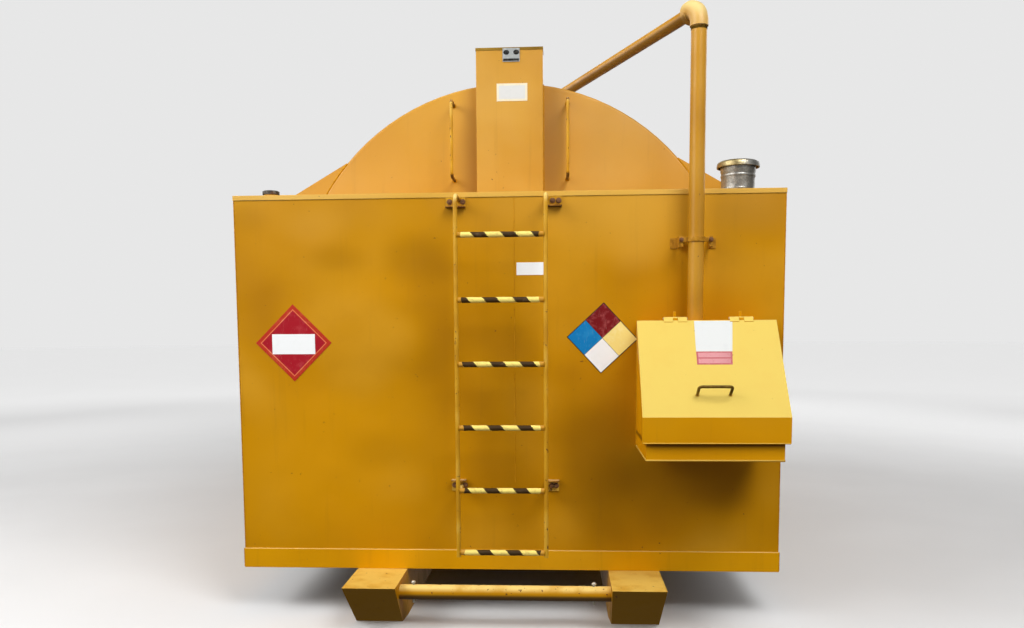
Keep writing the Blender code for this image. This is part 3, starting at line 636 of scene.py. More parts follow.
@dataclass(frozen=True)
class Casting(Finish):
    """Coarse cast or forged metal: plug, bolts and pins."""

    tone: Color = (0.060, 0.052, 0.045)
    worn: Color = (0.270, 0.240, 0.200)
    rust: Color = (0.150, 0.060, 0.022)
    metallic: float = 0.5
    roughness: float = 0.5

    def make(self) -> bpy.types.Material:
        """Build the material.

        Returns:
            The material.
        """
        graph = Graph(self.name)
        cloud = graph.noise(70.0, 5.0, 0.62)
        color = graph.blend(graph.span(cloud, 0.48, 0.70), self.tone, self.worn)
        stain = graph.noise(38.0, 4.0, 0.6)
        color = graph.blend(graph.span(stain, 0.55, 0.72, 0.0, 0.7), color, self.rust)
        rough = graph.span(cloud, 0.3, 0.7, self.roughness - 0.10, self.roughness + 0.18)
        relief = graph.bump(graph.noise(380.0, 4.0, 0.6), 0.0004)
        return graph.finish(
            Base_Color=color, Roughness=rough, Normal=relief, Metallic=self.metallic
        )


@dataclass(frozen=True)
class Vinyl(Finish):
    """Printed film on a plate: faded in clouds, scuffed, and a little dirty."""

    tone: Color
    faded: Color
    cloud: float = 22.0
    fade_from: float = 0.50
    scuffs: float = 0.30
    scuffed: Color = (0.55, 0.50, 0.42)
    scratch_stretch: Point = (260.0, 260.0, 30.0)
    roughness: float = 0.38
    gloss: float = 0.15

    def make(self) -> bpy.types.Material:
        """Build the material.

        Returns:
            The material.
        """
        graph = Graph(self.name)
        cloud = graph.noise(self.cloud, 5.0, 0.65)
        faded = graph.span(cloud, self.fade_from, self.fade_from + 0.22)
        color = graph.blend(faded, self.tone, self.faded)
        scratches = graph.noise(1.0, 4.0, 0.7, graph.stretched(self.scratch_stretch))
        rubbed = graph.span(scratches, 0.60, 0.75, 0.0, self.scuffs)
        color = graph.blend(rubbed, color, self.scuffed)
        rough = graph.span(cloud, 0.3, 0.7, self.roughness - 0.08, self.roughness + 0.14)
        relief = graph.bump(graph.noise(55.0, 2.0, 0.5), 0.0005)
        return graph.finish(
            Base_Color=color, Roughness=rough, Normal=relief, Specular_IOR_Level=self.gloss
        )


@dataclass(frozen=True)
class Concrete(Finish):
    """Pale studio floor that glows faintly far out, so that it meets the surround unseen."""

    name: str = "studio_floor"
    tone: Color = (0.80, 0.80, 0.80)
    cloudy: Color = (0.76, 0.76, 0.76)
    glow: float = 0.62
    glow_from: float = 3.0
    glow_to: float = 16.0

    def make(self) -> bpy.types.Material:
        """Build the material.

        Returns:
            The material.
        """
        graph = Graph(self.name)
        cloud = graph.noise(0.7, 3.0, 0.5)
        color = graph.blend(graph.span(cloud, 0.3, 0.7, 0.0, 0.5), self.tone, self.cloudy)
        reach = graph.reach(graph.part(graph.place, "X"), graph.part(graph.place, "Y"))
        glow = graph.span(reach, self.glow_from, self.glow_to, 0.0, self.glow)
        return graph.finish(
            Base_Color=color,
            Roughness=graph.span(cloud, 0.3, 0.7, 0.6, 0.8),
            Emission_Color=(1.0, 1.0, 1.0),
            Emission_Strength=glow,
        )


PAINT = Paint("tank_paint")
PLATE_PAINT = Paint(
    "wall_paint",
    deep=(0.500, 0.218, 0.0010),
    pale=(0.555, 0.252, 0.0040),
    patches=0.9,
    waviness=0.020,
    soil_top=0.42,
)
# Tone of the painted highlights on the front wall
PAINTED_HIGHLIGHT_TONE = (0.655, 0.292, 0.0012)
FRONT_PAINT = Paint(
    "front_wall_paint",
    deep=(0.445, 0.188, 0.0010),
    pale=(0.605, 0.286, 0.0110),
    patches=1.9,
    waviness=0.020,
    soil_top=0.20,
    # Painted light on the front wall: lighter blots are painted highlights and sky reflections;
    # darker ones are painted shade and dark reflections, the largest under the spill box and
    # between the ladder's rails
    blots=(
        Blot(-1.00, 0.78, 0.95, 0.62, 0.80, PAINTED_HIGHLIGHT_TONE),
        Blot(0.62, 2.00, 0.42, 0.30, 0.75, (0.660, 0.320, 0.020)),
        Blot(-0.85, 2.04, 0.55, 0.16, 0.30, (0.600, 0.300, 0.030)),
        Blot(0.48, 2.08, 1.10, 0.36, 0.40, (0.640, 0.350, 0.055)),
        Blot(-0.94, 1.96, 0.24, 0.15, 0.34, (0.660, 0.330, 0.035)),
        Blot(-0.66, 1.67, 0.42, 0.14, 0.36, PAINTED_HIGHLIGHT_TONE),
        Blot(-0.80, 1.07, 0.46, 0.13, 0.30, PAINTED_HIGHLIGHT_TONE),
        Blot(-1.08, 0.77, 0.30, 0.14, 0.32, PAINTED_HIGHLIGHT_TONE),
        Blot(-0.45, 1.80, 0.24, 0.17, 0.26),
        Blot(-0.86, 1.81, 0.26, 0.11, 0.22),
        Blot(-0.56, 1.30, 0.46, 0.15, 0.15),
        Blot(-0.60, 0.84, 0.34, 0.15, 0.17),
        Blot(-1.29, 2.03, 0.18, 0.14, 0.24),
        Blot(0.04, 1.00, 0.30, 0.75, 0.32),
        Blot(0.44, 0.80, 0.36, 0.55, 0.55),
        Blot(0.92, 0.72, 0.50, 0.26, 0.66),
    ),
)
# Near-black on faces that look down: painted shade under the box
UNDERSIDE_SHADE_PAINT = Paint("underside_shade_paint", soil_and_shade=(0.018, 0.010, 0.004), under=0.97)
# Faces that look up take the pale tone almost wholly: dust and a painted highlight along the
# channel's top
CHANNEL_PAINT = Paint(
    "channel_paint",
    tone=(0.710, 0.325, 0.0012),
    deep=(0.630, 0.280, 0.0010),
    pale=(0.760, 0.360, 0.0060),
    dust_and_sheen=(0.900, 0.680, 0.260),
    dust_and_sheen_amount=0.95,
    dust_and_sheen_from=0.15,
    dust_and_sheen_to=0.70,
    dust_and_sheen_least=0.80,
    waviness=0.006,
    soil_top=0.27,
)
SPILL_PAINT = Paint(
    "spill_box_paint",
    tone=(0.730, 0.325, 0.0012),
    deep=(0.660, 0.285, 0.0010),
    pale=(0.770, 0.360, 0.0060),
    waviness=0.006,
    # A thin dark band just below the lid's lip: painted shadow
    blots=(Blot(0.945, 0.946, 3.0, 0.016, 0.92, (0.170, 0.062, 0.001)),),
)
# Paler and bluer than the walls' yellow, in part painted sky reflection on the heads and shell
HEAD_PAINT = Paint(
    "head_paint",
    tone=(0.560, 0.272, 0.024),
    deep=(0.515, 0.236, 0.014),
    pale=(0.600, 0.312, 0.042),
    gloss=0.30,
)
FRONT_HEAD_PAINT = replace(
    HEAD_PAINT,
    name="front_head_paint",
    # Painted shade on the head beside both sides of the gauge housing
    blots=tuple(Blot(x, 2.42, 0.115, 0.46, 0.70, (0.400, 0.195, 0.026)) for x in (-0.235, 0.235)),
)
# Dark olive: painted shade on the folded edge of the housing's cap; faces that look up take dust
CAP_SHADE_PAINT = Paint(
    "housing_cap_shade_paint",
    tone=(0.260, 0.150, 0.018),
    deep=(0.200, 0.110, 0.012),
    pale=(0.330, 0.200, 0.030),
    patches=9.0,
    dust_and_sheen=(0.620, 0.420, 0.110),
    dust_and_sheen_amount=0.90,
    soil_top=0.0,
    waviness=0.002,
)
# Paler and bluer than the walls' yellow: painted sky reflection on the decks
DECK_PAINT = Paint(
    "deck_paint",
    tone=(0.690, 0.385, 0.052),
    deep=(0.640, 0.345, 0.038),
    pale=(0.730, 0.425, 0.075),
    soil_top=0.0,
    gloss=0.30,
)
# Paler and bluer than the walls' yellow: painted sky reflection on the housing
HOUSING_PAINT = Paint(
    "housing_paint",
    tone=(0.555, 0.277, 0.029),
    deep=(0.520, 0.252, 0.022),
    pale=(0.600, 0.318, 0.046),
    patches=3.0,
    soil_top=0.0,
    gloss=0.35,
)
WELD_PAINT = Paint("weld_paint", waviness=0.0, peel=0.0004, patches=30.0, chipped=0.66)
# Faces that look down are darkened: painted shade on the raked noses
SKID_PAINT = Paint(
    "skid_paint",
    dust_and_sheen=(0.780, 0.520, 0.110),
    dust_and_sheen_amount=0.85,
    soil_and_shade=(0.250, 0.122, 0.003),
    soil_top=0.20,
    chipped=0.665,
    waviness=0.006,
    under=0.80,
    gloss=0.05,
)
# Upper faces take the pale tone, dust and painted highlight; lower faces are darkened as painted
# shade
TOW_PAINT = Paint(
    "drag_pipe_paint",
    dust_and_sheen=(0.900, 0.660, 0.210),
    dust_and_sheen_amount=0.90,
    dust_and_sheen_from=0.15,
    dust_and_sheen_to=0.85,
    soil_top=0.05,
    chipped=0.640,
    waviness=0.004,
    under=0.93,
    under_from=0.10,
    under_to=-0.35,
)
# Upward faces take the pale tone almost wholly: dust and a painted sky highlight on the lid's top
LID_PAINT = Paint(
    "lid_paint",
    tone=(0.650, 0.288, 0.0012),
    deep=(0.600, 0.255, 0.0010),
    dust_and_sheen=(0.720, 0.535, 0.115),
    dust_and_sheen_amount=0.97,
    dust_and_sheen_from=0.30,
    dust_and_sheen_to=0.50,
    dust_and_sheen_least=0.93,
    waviness=0.006,
    chipped=0.72,
)
# Dark brown: painted shade on the lid's yellow handle and on the riser's threads under the elbow's
# collar
HANDLE_SHADE_PAINT = Paint(
    "handle_shade_paint",
    tone=(0.150, 0.085, 0.010),
    deep=(0.085, 0.045, 0.006),
    pale=(0.250, 0.150, 0.020),
    dust_and_sheen=(0.300, 0.190, 0.040),
    patches=40.0,
    waviness=0.0,
    chipped=0.64,
)
# Upper faces take the pale tone, dust and painted highlight; faces that look down are darkened as
# painted shade
RAIL_PAINT = Paint(
    "rail_paint",
    tone=(0.600, 0.310, 0.014),
    deep=(0.500, 0.240, 0.009),
    pale=(0.660, 0.380, 0.045),
    dust_and_sheen=(0.800, 0.610, 0.200),
    dust_and_sheen_amount=0.90,
    dust_and_sheen_from=0.10,
    dust_and_sheen_to=0.70,
    patches=9.0,
    soil_top=0.30,
    waviness=0.002,
    chipped=0.640,
    under=0.60,
    gloss=0.20,
)
# Rusty brown; faces that look down are darkened as painted shade
CLIP_PAINT = Paint(
    "clip_paint",
    tone=(0.300, 0.120, 0.016),
    deep=(0.120, 0.042, 0.012),
    pale=(0.480, 0.240, 0.050),
    dust_and_sheen=(0.700, 0.500, 0.210),
    patches=55.0,
    dust_and_sheen_amount=0.90,
    waviness=0.0,
    chipped=0.580,
    under=0.90,
)
# Faces that look down are darkened as painted shade
CLAMP_PAINT = replace(
    CLIP_PAINT,
    name="clamp_paint",
    tone=(0.420, 0.188, 0.012),
    deep=(0.320, 0.136, 0.010),
    pale=(0.520, 0.250, 0.026),
    chipped=0.670,
    under=0.55,
)
# Faces that look down are darkened: painted shade on the undersides of the riser and run
PIPE_PAINT = Paint(
    "pipe_paint",
    tone=(0.560, 0.262, 0.012),
    deep=(0.505, 0.228, 0.008),
    pale=(0.600, 0.295, 0.024),
    patches=4.0,
    soil_top=0.0,
    waviness=0.003,
    under=0.75,
    under_from=0.15,
    under_to=-0.50,
    gloss=0.28,
)
# Paler, bluer tone and a pale tone over upward and sideways faces: painted sky reflection on the
# elbow; faces that look down take painted shade
ELBOW_PAINT = Paint(
    "elbow_paint",
    tone=(0.620, 0.335, 0.060),
    deep=(0.560, 0.290, 0.040),
    pale=(0.660, 0.385, 0.095),
    dust_and_sheen=(0.720, 0.560, 0.220),
    patches=14.0,
    dust_and_sheen_amount=0.85,
    dust_and_sheen_from=-0.15,
    dust_and_sheen_to=0.60,
    dust_and_sheen_least=0.75,
    soil_top=0.0,
    waviness=0.002,
    under=0.80,
    gloss=0.45,
)
# Pale on nearly every face: a painted highlight along the spill box's lower edges
EDGE_HIGHLIGHT_PAINT = Paint(
    "painted_edge_highlight",
    dust_and_sheen=(0.640, 0.420, 0.075),
    dust_and_sheen_amount=0.90,
    dust_and_sheen_from=-0.60,
    dust_and_sheen_to=0.30,
    dust_and_sheen_least=0.80,
    waviness=0.0,
)
CAP_ZINC = Zinc("vent_cap_zinc", overspray=(0.400, 0.285, 0.070), spray_left=0.70)
BAND_ZINC = Zinc("vent_band_zinc")
BOLT_STEEL = Casting(
    "bolt_steel",
    tone=(0.185, 0.075, 0.024),
    worn=(0.340, 0.185, 0.070),
    rust=(0.170, 0.052, 0.018),
    metallic=0.25,
    roughness=0.62,
)
PIN_STEEL = Casting("pin_steel", tone=(0.520, 0.490, 0.400), worn=(0.700, 0.670, 0.560))
PLUG_IRON = Casting("plug_iron")
RED_FIELD = Vinyl("placard_red", (0.390, 0.008, 0.018), (0.450, 0.030, 0.040))
RED_STRIP = Vinyl("placard_strip", (0.490, 0.032, 0.012), (0.570, 0.085, 0.028))
RED_LINE = Vinyl("placard_line", (0.760, 0.170, 0.070), (0.800, 0.260, 0.140))
FADED_RED = Vinyl(
    "placard_faded_red", (0.190, 0.008, 0.010), (0.340, 0.060, 0.060), cloud=34.0, fade_from=0.46
)
BLUE_FIELD = Vinyl("placard_blue", (0.006, 0.205, 0.520), (0.015, 0.250, 0.560))
YELLOW_FIELD = Vinyl("placard_yellow", (0.930, 0.740, 0.230), (0.950, 0.800, 0.340))
WHITE_FIELD = Vinyl("label_white", (0.940, 0.955, 0.955), (0.910, 0.930, 0.920), scuffs=0.10)
LID_WHITE = Vinyl("lid_label_white", (0.655, 0.665, 0.655), (0.620, 0.635, 0.630), scuffs=0.12)
CREAM_EDGE = Vinyl("label_edge", (0.800, 0.720, 0.520), (0.740, 0.640, 0.420))
PINK_FIELD = Vinyl("label_pink", (0.630, 0.275, 0.290), (0.560, 0.215, 0.225), cloud=60.0)
PINK_FRAME = Vinyl("label_pink_frame", (0.480, 0.110, 0.120), (0.580, 0.200, 0.200), cloud=60.0)
GREY_PLATE = Vinyl("badge_grey", (0.330, 0.350, 0.350), (0.470, 0.480, 0.470), cloud=60.0)
DARK_PRINT = Vinyl("badge_dark", (0.012, 0.012, 0.012), (0.050, 0.040, 0.030), cloud=60.0)


def new_object(name: str, data: bpy.types.ID) -> bpy.types.Object:
    """Make an object and link it to the scene."""
    obj = bpy.data.objects.new(name, data)
    bpy.context.scene.collection.objects.link(obj)
    return obj


def smooth_object(name: str, bm: bmesh.types.BMesh, sharp: float) -> bpy.types.Object:
    """Turn a bmesh into a smooth-shaded object in the scene.

    Args:
        name: Name of the object and its mesh.
        bm: Mesh in the row frame; it is freed.
        sharp: Angle in degrees above which an edge stays sharp.

    Returns:
        The object.
    """
    mesh = bpy.data.meshes.new(name)
    bm.to_mesh(mesh)
    bm.free()
    if "custom_normal" in mesh.attributes:
        mesh.attributes.remove(mesh.attributes["custom_normal"])
    mesh.shade_smooth()
    mesh.set_sharp_from_angle(angle=math.radians(sharp))
    return new_object(name, mesh)


class Shop:
    def __init__(self, frame: dict) -> None:
        """Keep the frame."""
        self.frame = frame
        self.made: dict[str, bpy.types.Material] = {}

    def finish(self, finish: Finish) -> bpy.types.Material:
        """Return a finish's material, made on first use."""
        if finish.name not in self.made:
            self.made[finish.name] = finish.make()
        return self.made[finish.name]

    def piece(
        self,
        name: str,
        bm: bmesh.types.BMesh,
        finishes: Sequence[Finish],
        body: Body = Body.TANK,
        slot: Slot | None = None,
        sharp: float = 35.0,
    ) -> None:
        """Turn a bmesh in the row frame into a finished piece that rides on a body.

        Args:
            name: Piece name.
            bm: Mesh in the row frame; it is freed.
            finishes: Finishes by material index.
            body: Body to ride on.
            slot: Record slot of the piece; not used.
            sharp: Angle in degrees above which an edge stays sharp.
        """
        bmesh.ops.recalc_face_normals(bm, faces=bm.faces)
        self.ride(smooth_object(name, bm, sharp), finishes, body, slot)

    def ride(
        self,
        obj: bpy.types.Object,
        finishes: Sequence[Finish],
        body: Body = Body.TANK,
        slot: Slot | None = None,
    ) -> None:
        """Dress an object, set it on its body and report it.

        Args:
            obj: Object at the origin.
            finishes: Finishes by material index.
            body: Body to ride on.
            slot: Record slot of the piece; not used.
        """
        slots = obj.data.materials
        for index, finish in enumerate(finishes):
            if index < len(slots):
                slots[index] = self.finish(finish)
            else:
                slots.append(self.finish(finish))
        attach(obj, body.value)
        log.info("%s on %s, %d faces", obj.name, body.value, len(obj.data.polygons))

    def carry(
        self,
        node: str,
        finish: Finish,
        edge: float = 0.0015,
        body: Body = Body.TANK,
        slot: Slot = Slot.PAINT,
        second: tuple[Finish, Callable[[Vector], bool]] | None = None,
    ) -> None:
        """Show a CAD node as a merged copy with rounded edges and its own finish.

        Args:
            node: Name of the CAD node.
            finish: Finish of the whole piece.
            edge: Width of the rounded edges; 0 leaves them as they are.
            body: Body to ride on.
            slot: Record slot of the node; not used.
            second: Another finish, and a test that picks its faces by their middle.
        """
        bm = bmesh.new()
        bm.from_mesh(self.frame["nodes"][node].data)
        bmesh.ops.remove_doubles(bm, verts=bm.verts, dist=MERGE_DISTANCE)
        flat = math.radians(FLAT_DEGREES)
        bmesh.ops.dissolve_limit(bm, angle_limit=flat, verts=bm.verts, edges=bm.edges)
        finishes = [finish]
        if second is not None:
            other, picks = second
            finishes.append(other)
            for face in bm.faces:
                face.material_index = int(picks(face.calc_center_median()))
        obj = smooth_object(node + "_dressed", bm, SHARP_DEGREES)
        if edge:
            rounding = obj.modifiers.new("rounded_edges", "BEVEL")
            rounding.width = edge
            rounding.segments = 2
            rounding.limit_method = "ANGLE"
            rounding.angle_limit = math.radians(SHARP_DEGREES)
            rounding.harden_normals = True
        self.ride(obj, finishes, body, slot)
        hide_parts(node)


class Tree:
    """A Geometry Nodes tree with named inputs, built node by node."""

    def __init__(self, name: str, inputs: dict[str, float]) -> None:
        """Start a tree with a geometry in and out and one number input for each name."""
        self.tree = bpy.data.node_groups.new(name, "GeometryNodeTree")
        interface = self.tree.interface
        interface.new_socket("Geometry", in_out="INPUT", socket_type="NodeSocketGeometry")
        interface.new_socket("Geometry", in_out="OUTPUT", socket_type="NodeSocketGeometry")
        self.identifiers = {}
        for label, default in inputs.items():
            socket = interface.new_socket(label, in_out="INPUT", socket_type="NodeSocketFloat")
            socket.default_value = default
            self.identifiers[label] = socket.identifier
        self.source = self.tree.nodes.new("NodeGroupInput").outputs
        self.target = self.tree.nodes.new("NodeGroupOutput").inputs

    def node(
        self, kind: str, inputs: dict[str | int, object] | None = None, **settings: object
    ) -> bpy.types.bpy_prop_collection:
        """Add a node and return its outputs.

        Args:
            kind: Type of the node, without its family's name in front.
            inputs: Sockets or values by input name or index.
            **settings: Properties of the node.

        Returns:
            The node's outputs.
        """
        return add_node(self.tree, "GeometryNode" + kind, inputs, **settings).outputs

    def number(self, operation: str, first: Value, second: Value = 0.0) -> Socket:
        """Return the result socket of one sum on two numbers."""
        inputs = {0: first, 1: second}
        return add_node(self.tree, "ShaderNodeMath", inputs, operation=operation).outputs[0]

    def end(self, geometry: Socket, material: bpy.types.Material) -> None:
        """Realize the instances, set the material and join the result to the output.

        Args:
            geometry: Last geometry socket.
            material: Material of everything that the tree makes.
        """
        real = self.node("RealizeInstances", {"Geometry": geometry})
        dressed = self.node("SetMaterial", {"Geometry": real[0], "Material": material})
        self.tree.links.new(dressed[0], self.target[0])

    def apply(self, name: str, mesh: bpy.types.Mesh, values: dict[str, float]) -> bpy.types.Object:
        """Run the tree on a mesh and return the result as a plain mesh object.

        Args:
            name: Name of the object.
            mesh: Points or edges that the tree reads.
            values: Sizes by input name.

        Returns:
            The object, at the origin and with no modifier.
        """
        obj = new_object(name, mesh)
        modifier = obj.modifiers.new(name, "NODES")
        modifier.node_group = self.tree
        for label, value in values.items():
            modifier[self.identifiers[label]] = value
        graph = bpy.context.evaluated_depsgraph_get()
        result = bpy.data.meshes.new_from_object(obj.evaluated_get(graph))
        result.name = name
        obj.modifiers.clear()
        obj.data = result
        return obj


@dataclass
class WeldTree:
    """Rippled weld beads along every edge of a mesh."""

    shop: Shop
    ripple: float = 0.009
    ripple_height: float = 0.14
    unevenness: float = 0.7
    uneven_scale: float = 55.0
    thinnest: float = 0.65
    sides: int = 8
    seed: float = 4.0

    def __post_init__(self) -> None:
        """Build the tree: edges to curves, a rippled radius, a round section, and a rough skin."""
        names = {"Bead radius": 0.004, "Ripple pitch": self.ripple, "Step": 0.003}
        self.tree = tree = Tree("weld_bead", names)
        curve = tree.node("MeshToCurve", {"Mesh": tree.source["Geometry"]})
        steps = {"Curve": curve[0], "Length": tree.source["Step"]}
        even = tree.node("ResampleCurve", steps, mode="LENGTH")
        length = tree.node("SplineParameter")["Length"]
        turns = tree.number("DIVIDE", length, tree.source["Ripple pitch"])
        wave = tree.number("SINE", tree.number("MULTIPLY", turns, 2 * math.pi))
        place = tree.node("InputPosition")[0]
        inputs = {"Vector": place, "Scale": self.uneven_scale, "W": self.seed}
        noise = add_node(tree.tree, "ShaderNodeTexNoise", inputs, noise_dimensions="4D").outputs[0]
        uneven = tree.number("MULTIPLY", noise, self.unevenness)
        factor = tree.number("ADD", tree.number("MULTIPLY", wave, self.ripple_height), uneven)
        factor = tree.number("ADD", factor, self.thinnest)
        radius = tree.number("MULTIPLY", factor, tree.source["Bead radius"])
        section = tree.node("CurvePrimitiveCircle", {"Resolution": self.sides, "Radius": 1.0})
        inputs = {"Curve": even[0], "Profile Curve": section[0], "Scale": radius}
        swept = tree.node("CurveToMesh", {**inputs, "Fill Caps": True})
        smooth = tree.node("SetShadeSmooth", {"Geometry": swept[0]})
        tree.end(smooth[0], self.shop.finish(WELD_PAINT))

    def lay(
        self,
        name: str,
        paths: Iterable[Path],
        radius: float,
        body: Body = Body.TANK,
        slot: Slot = Slot.PAINT,
        step: float = 0.003,
    ) -> None:
        """Lay beads along paths as one piece.

        Args:
            name: Piece name.
            paths: Point lists; one whose ends meet is a closed ring.
            radius: Mean radius of the bead.
            body: Body to ride on.
            slot: Record slot of the paint over the bead.
            step: Distance between two sections of the bead.
        """
        mesh = bpy.data.meshes.new(name)
        points: list[Point] = []
        edges: list[tuple[int, int]] = []
        for path in paths:
            start = len(points)
            closed = path[0] == path[-1]
            corners = path[:-1] if closed else path
            points += corners
            edges += [(start + i, start + i + 1) for i in range(len(corners) - 1)]
            if closed:
                edges.append((start + len(corners) - 1, start))
        mesh.from_pydata(points, edges, [])
        obj = self.tree.apply(name, mesh, {"Bead radius": radius, "Step": step})
        finish = LID_PAINT if slot is Slot.LID else WELD_PAINT
        self.shop.ride(obj, [finish], body, slot)


@dataclass
class BoltTree:
    """Hexagon bolts with washers, one on every point of a mesh and facing its own way."""

    shop: Shop
    head_depth: float = 0.011
    washer_depth: float = 0.0025
    washer_share: float = 1.3
    stud_depth: float = 0.006
    stud_share: float = 0.5
    seed: int = 3

    def __post_init__(self) -> None:
        """Build the tree: one bolt, turned to each point's aim and spun by a seeded number."""
        self.tree = tree = Tree("hex_bolt", {"Head radius": 0.013, "Washer radius": 0.017})
        head, washer = tree.source["Head radius"], tree.source["Washer radius"]
        middle = self.washer_depth + self.head_depth / 2
        stud = tree.number("MULTIPLY", head, self.stud_share)
        parts = (
            (6, head, self.head_depth, middle),
            (12, stud, self.stud_depth, middle + self.head_depth / 2),
            (20, washer, self.washer_depth, self.washer_depth / 2),
        )
        join = add_node(tree.tree, "GeometryNodeJoinGeometry")
        for sides, radius, depth, height in parts:
            sizes = {"Vertices": sides, "Radius": radius, "Depth": depth}
            drum = tree.node("MeshCylinder", sizes)
            shift = {"Geometry": drum[0], "Translation": (0.0, 0.0, height)}
            tree.tree.links.new(tree.node("Transform", shift)[0], join.inputs[0])
        aim = tree.node("InputNamedAttribute", {"Name": "aim"}, data_type="FLOAT_VECTOR")[0]
        turn = self.rotation("AlignRotationToVector", {"Vector": aim}, axis="Z")[0]
        limits = {3: 2 * math.pi, "Seed": self.seed}
        spin = self.rotation("RandomValue", limits, data_type="FLOAT")[1]
        about = self.rotation("AxisAngleToRotation", {"Angle": spin})[0]
        turns = {"Rotation": turn, "Rotate By": about}
        both = self.rotation("RotateRotation", turns, rotation_space="LOCAL")[0]
        copies = {"Points": tree.source["Geometry"], "Instance": join.outputs[0], "Rotation": both}
        placed = tree.node("InstanceOnPoints", copies)
        tree.end(placed[0], self.shop.finish(BOLT_STEEL))

    def rotation(
        self, kind: str, inputs: dict[str | int, object], **settings: object
    ) -> bpy.types.bpy_prop_collection:
        """Add a function node and return its outputs.

        Args:
            kind: Type of the node, without its family's name in front.
            inputs: Sockets or values by input name or index.
            **settings: Properties of the node.

        Returns:
            The node's outputs.
        """
        return add_node(self.tree.tree, "FunctionNode" + kind, inputs, **settings).outputs

    def place(self, name: str, bolts: Sequence[tuple[Point, Point]], head: float) -> None:
        """Set bolts of one size as one piece on the tank.

        Args:
            name: Piece name.
            bolts: Seat and outward direction of each bolt.
            head: Radius of the head across its corners.
        """
        mesh = bpy.data.meshes.new(name)
        mesh.from_pydata([seat for seat, _ in bolts], [], [])
        aim = mesh.attributes.new("aim", "FLOAT_VECTOR", "POINT")
        for item, (_, direction) in zip(aim.data, bolts):
            item.vector = direction
        sizes = {"Head radius": head, "Washer radius": head * self.washer_share}
        self.shop.ride(self.tree.apply(name, mesh, sizes), [BOLT_STEEL])


def around(count: int) -> list[Pair]:
    """Return the cosine and sine of evenly spaced angles round a circle."""
    angles = [2 * math.pi * i / count for i in range(count)]
    return [(math.cos(angle), math.sin(angle)) for angle in angles]


def ring(centre: Point, normal: Point, radius: float, count: int = 20) -> Path:
    """Return a closed circle.

    Args:
        centre: Its middle.
        normal: Direction of its axis.
        radius: Its radius.
        count: Number of points.

    Returns:
        The points, with the first one repeated at the end.
    """
    turn = Vector(normal).to_track_quat("Z", "Y").to_matrix()
    spots = [turn @ Vector((radius * c, radius * s, 0.0)) for c, s in around(count)]
    points = [tuple(Vector(centre) + spot) for spot in spots]
    return points + [points[0]]


def on_circle(degrees: float, y: float, radius: float = TANK_RADIUS) -> Point:
    """Return a point on the cylinder, by its angle above +X."""
    angle = math.radians(degrees)
    return (radius * math.cos(angle), y, TANK_Z + radius * math.sin(angle))


def arc(first: float, last: float, y: float, radius: float = TANK_RADIUS, count: int = 24) -> Path:
    """Return points of an arc round the cylinder's axis.

    Args:
        first: Angle above +X where it starts, in degrees.
        last: Angle where it ends.
        y: Place along the cylinder.
        radius: Radius of the arc.
        count: Number of steps.

    Returns:
        The points.
    """
    return [on_circle(first + (last - first) * i / count, y, radius) for i in range(count + 1)]


def mirrored(paths: Iterable[Path]) -> list[Path]:
    """Return paths and their mirror images on the other side of the tank."""
    paths = list(paths)
    return paths + [[(-x, y, z) for x, y, z in path] for path in paths]


def fore_and_aft(paths: Iterable[Path]) -> list[Path]:
    """Return paths and their images at the other end of the tank."""
    paths = list(paths)
    middle = FRONT_Y + REAR_Y
    return paths + [[(x, middle - y, z) for x, y, z in path] for path in paths]


def upright(edges: Edges, y: float) -> Path:
    """Return the corners of an upright rectangle from its left, right, bottom and top."""
    left, right, low, high = edges
    return [(left, y, low), (right, y, low), (right, y, high), (left, y, high)]


def turned(bm: bmesh.types.BMesh, profile: Sequence[Pair], frame: Matrix, sides: int) -> None:
    """Add a closed turned shape to a bmesh.

    Args:
        bm: Mesh to add to.
        profile: Pairs of radius and height, closed on themselves.
        frame: Place of the axis, which is its Z.
        sides: Faces round the axis.
    """
    rings = []
    for radius, height in profile:
        if radius == 0:
            rings.append([bm.verts.new(frame @ Vector((0, 0, height)))] * sides)
            continue
        spots = [Vector((radius * c, radius * s, height)) for c, s in around(sides)]
        rings.append([bm.verts.new(frame @ spot) for spot in spots])
    for first, second in zip(rings, rings[1:] + rings[:1]):
        for k in range(sides):
            j = (k + 1) % sides
            corners = list(dict.fromkeys((first[k], first[j], second[j], second[k])))
            if len(corners) > 2:
                bm.faces.new(corners)


def loft(bm: bmesh.types.BMesh, loops: Sequence[Sequence[Point]], index: int = 0) -> None:
    """Add a closed skin over loops of equal length, with a flat face on the first and last.

    Args:
        bm: Mesh to add to.
        loops: Corners of each loop, in the same turn.
        index: Material index.
    """
    rows = [[bm.verts.new(point) for point in loop] for loop in loops]
    faces = [bm.faces.new(rows[0]), bm.faces.new(rows[-1])]
    for low, high in zip(rows, rows[1:]):
        for i in range(len(low)):
            j = (i + 1) % len(low)
            faces.append(bm.faces.new((low[i], low[j], high[j], high[i])))
    for face in faces:
        face.material_index = index


def slab(bm: bmesh.types.BMesh, outline: Sequence[Point], push: Vector, index: int = 0) -> None:
    """Add a flat plate with slightly rounded front edges to a bmesh.

    Args:
        bm: Mesh to add to.
        outline: Corners of its back face.
        push: Vector from its back to its front face.
        index: Material index.
    """
    middle = sum((Vector(point) for point in outline), Vector()) / len(outline)
    shoulder = [Vector(point) + push * SHOULDER for point in outline]
    front = []
    for point in outline:
        inward = (middle - Vector(point)).normalized() * push.length * BEVEL
        front.append(Vector(point) + push + inward)
    loft(bm, (outline, shoulder, front), index)


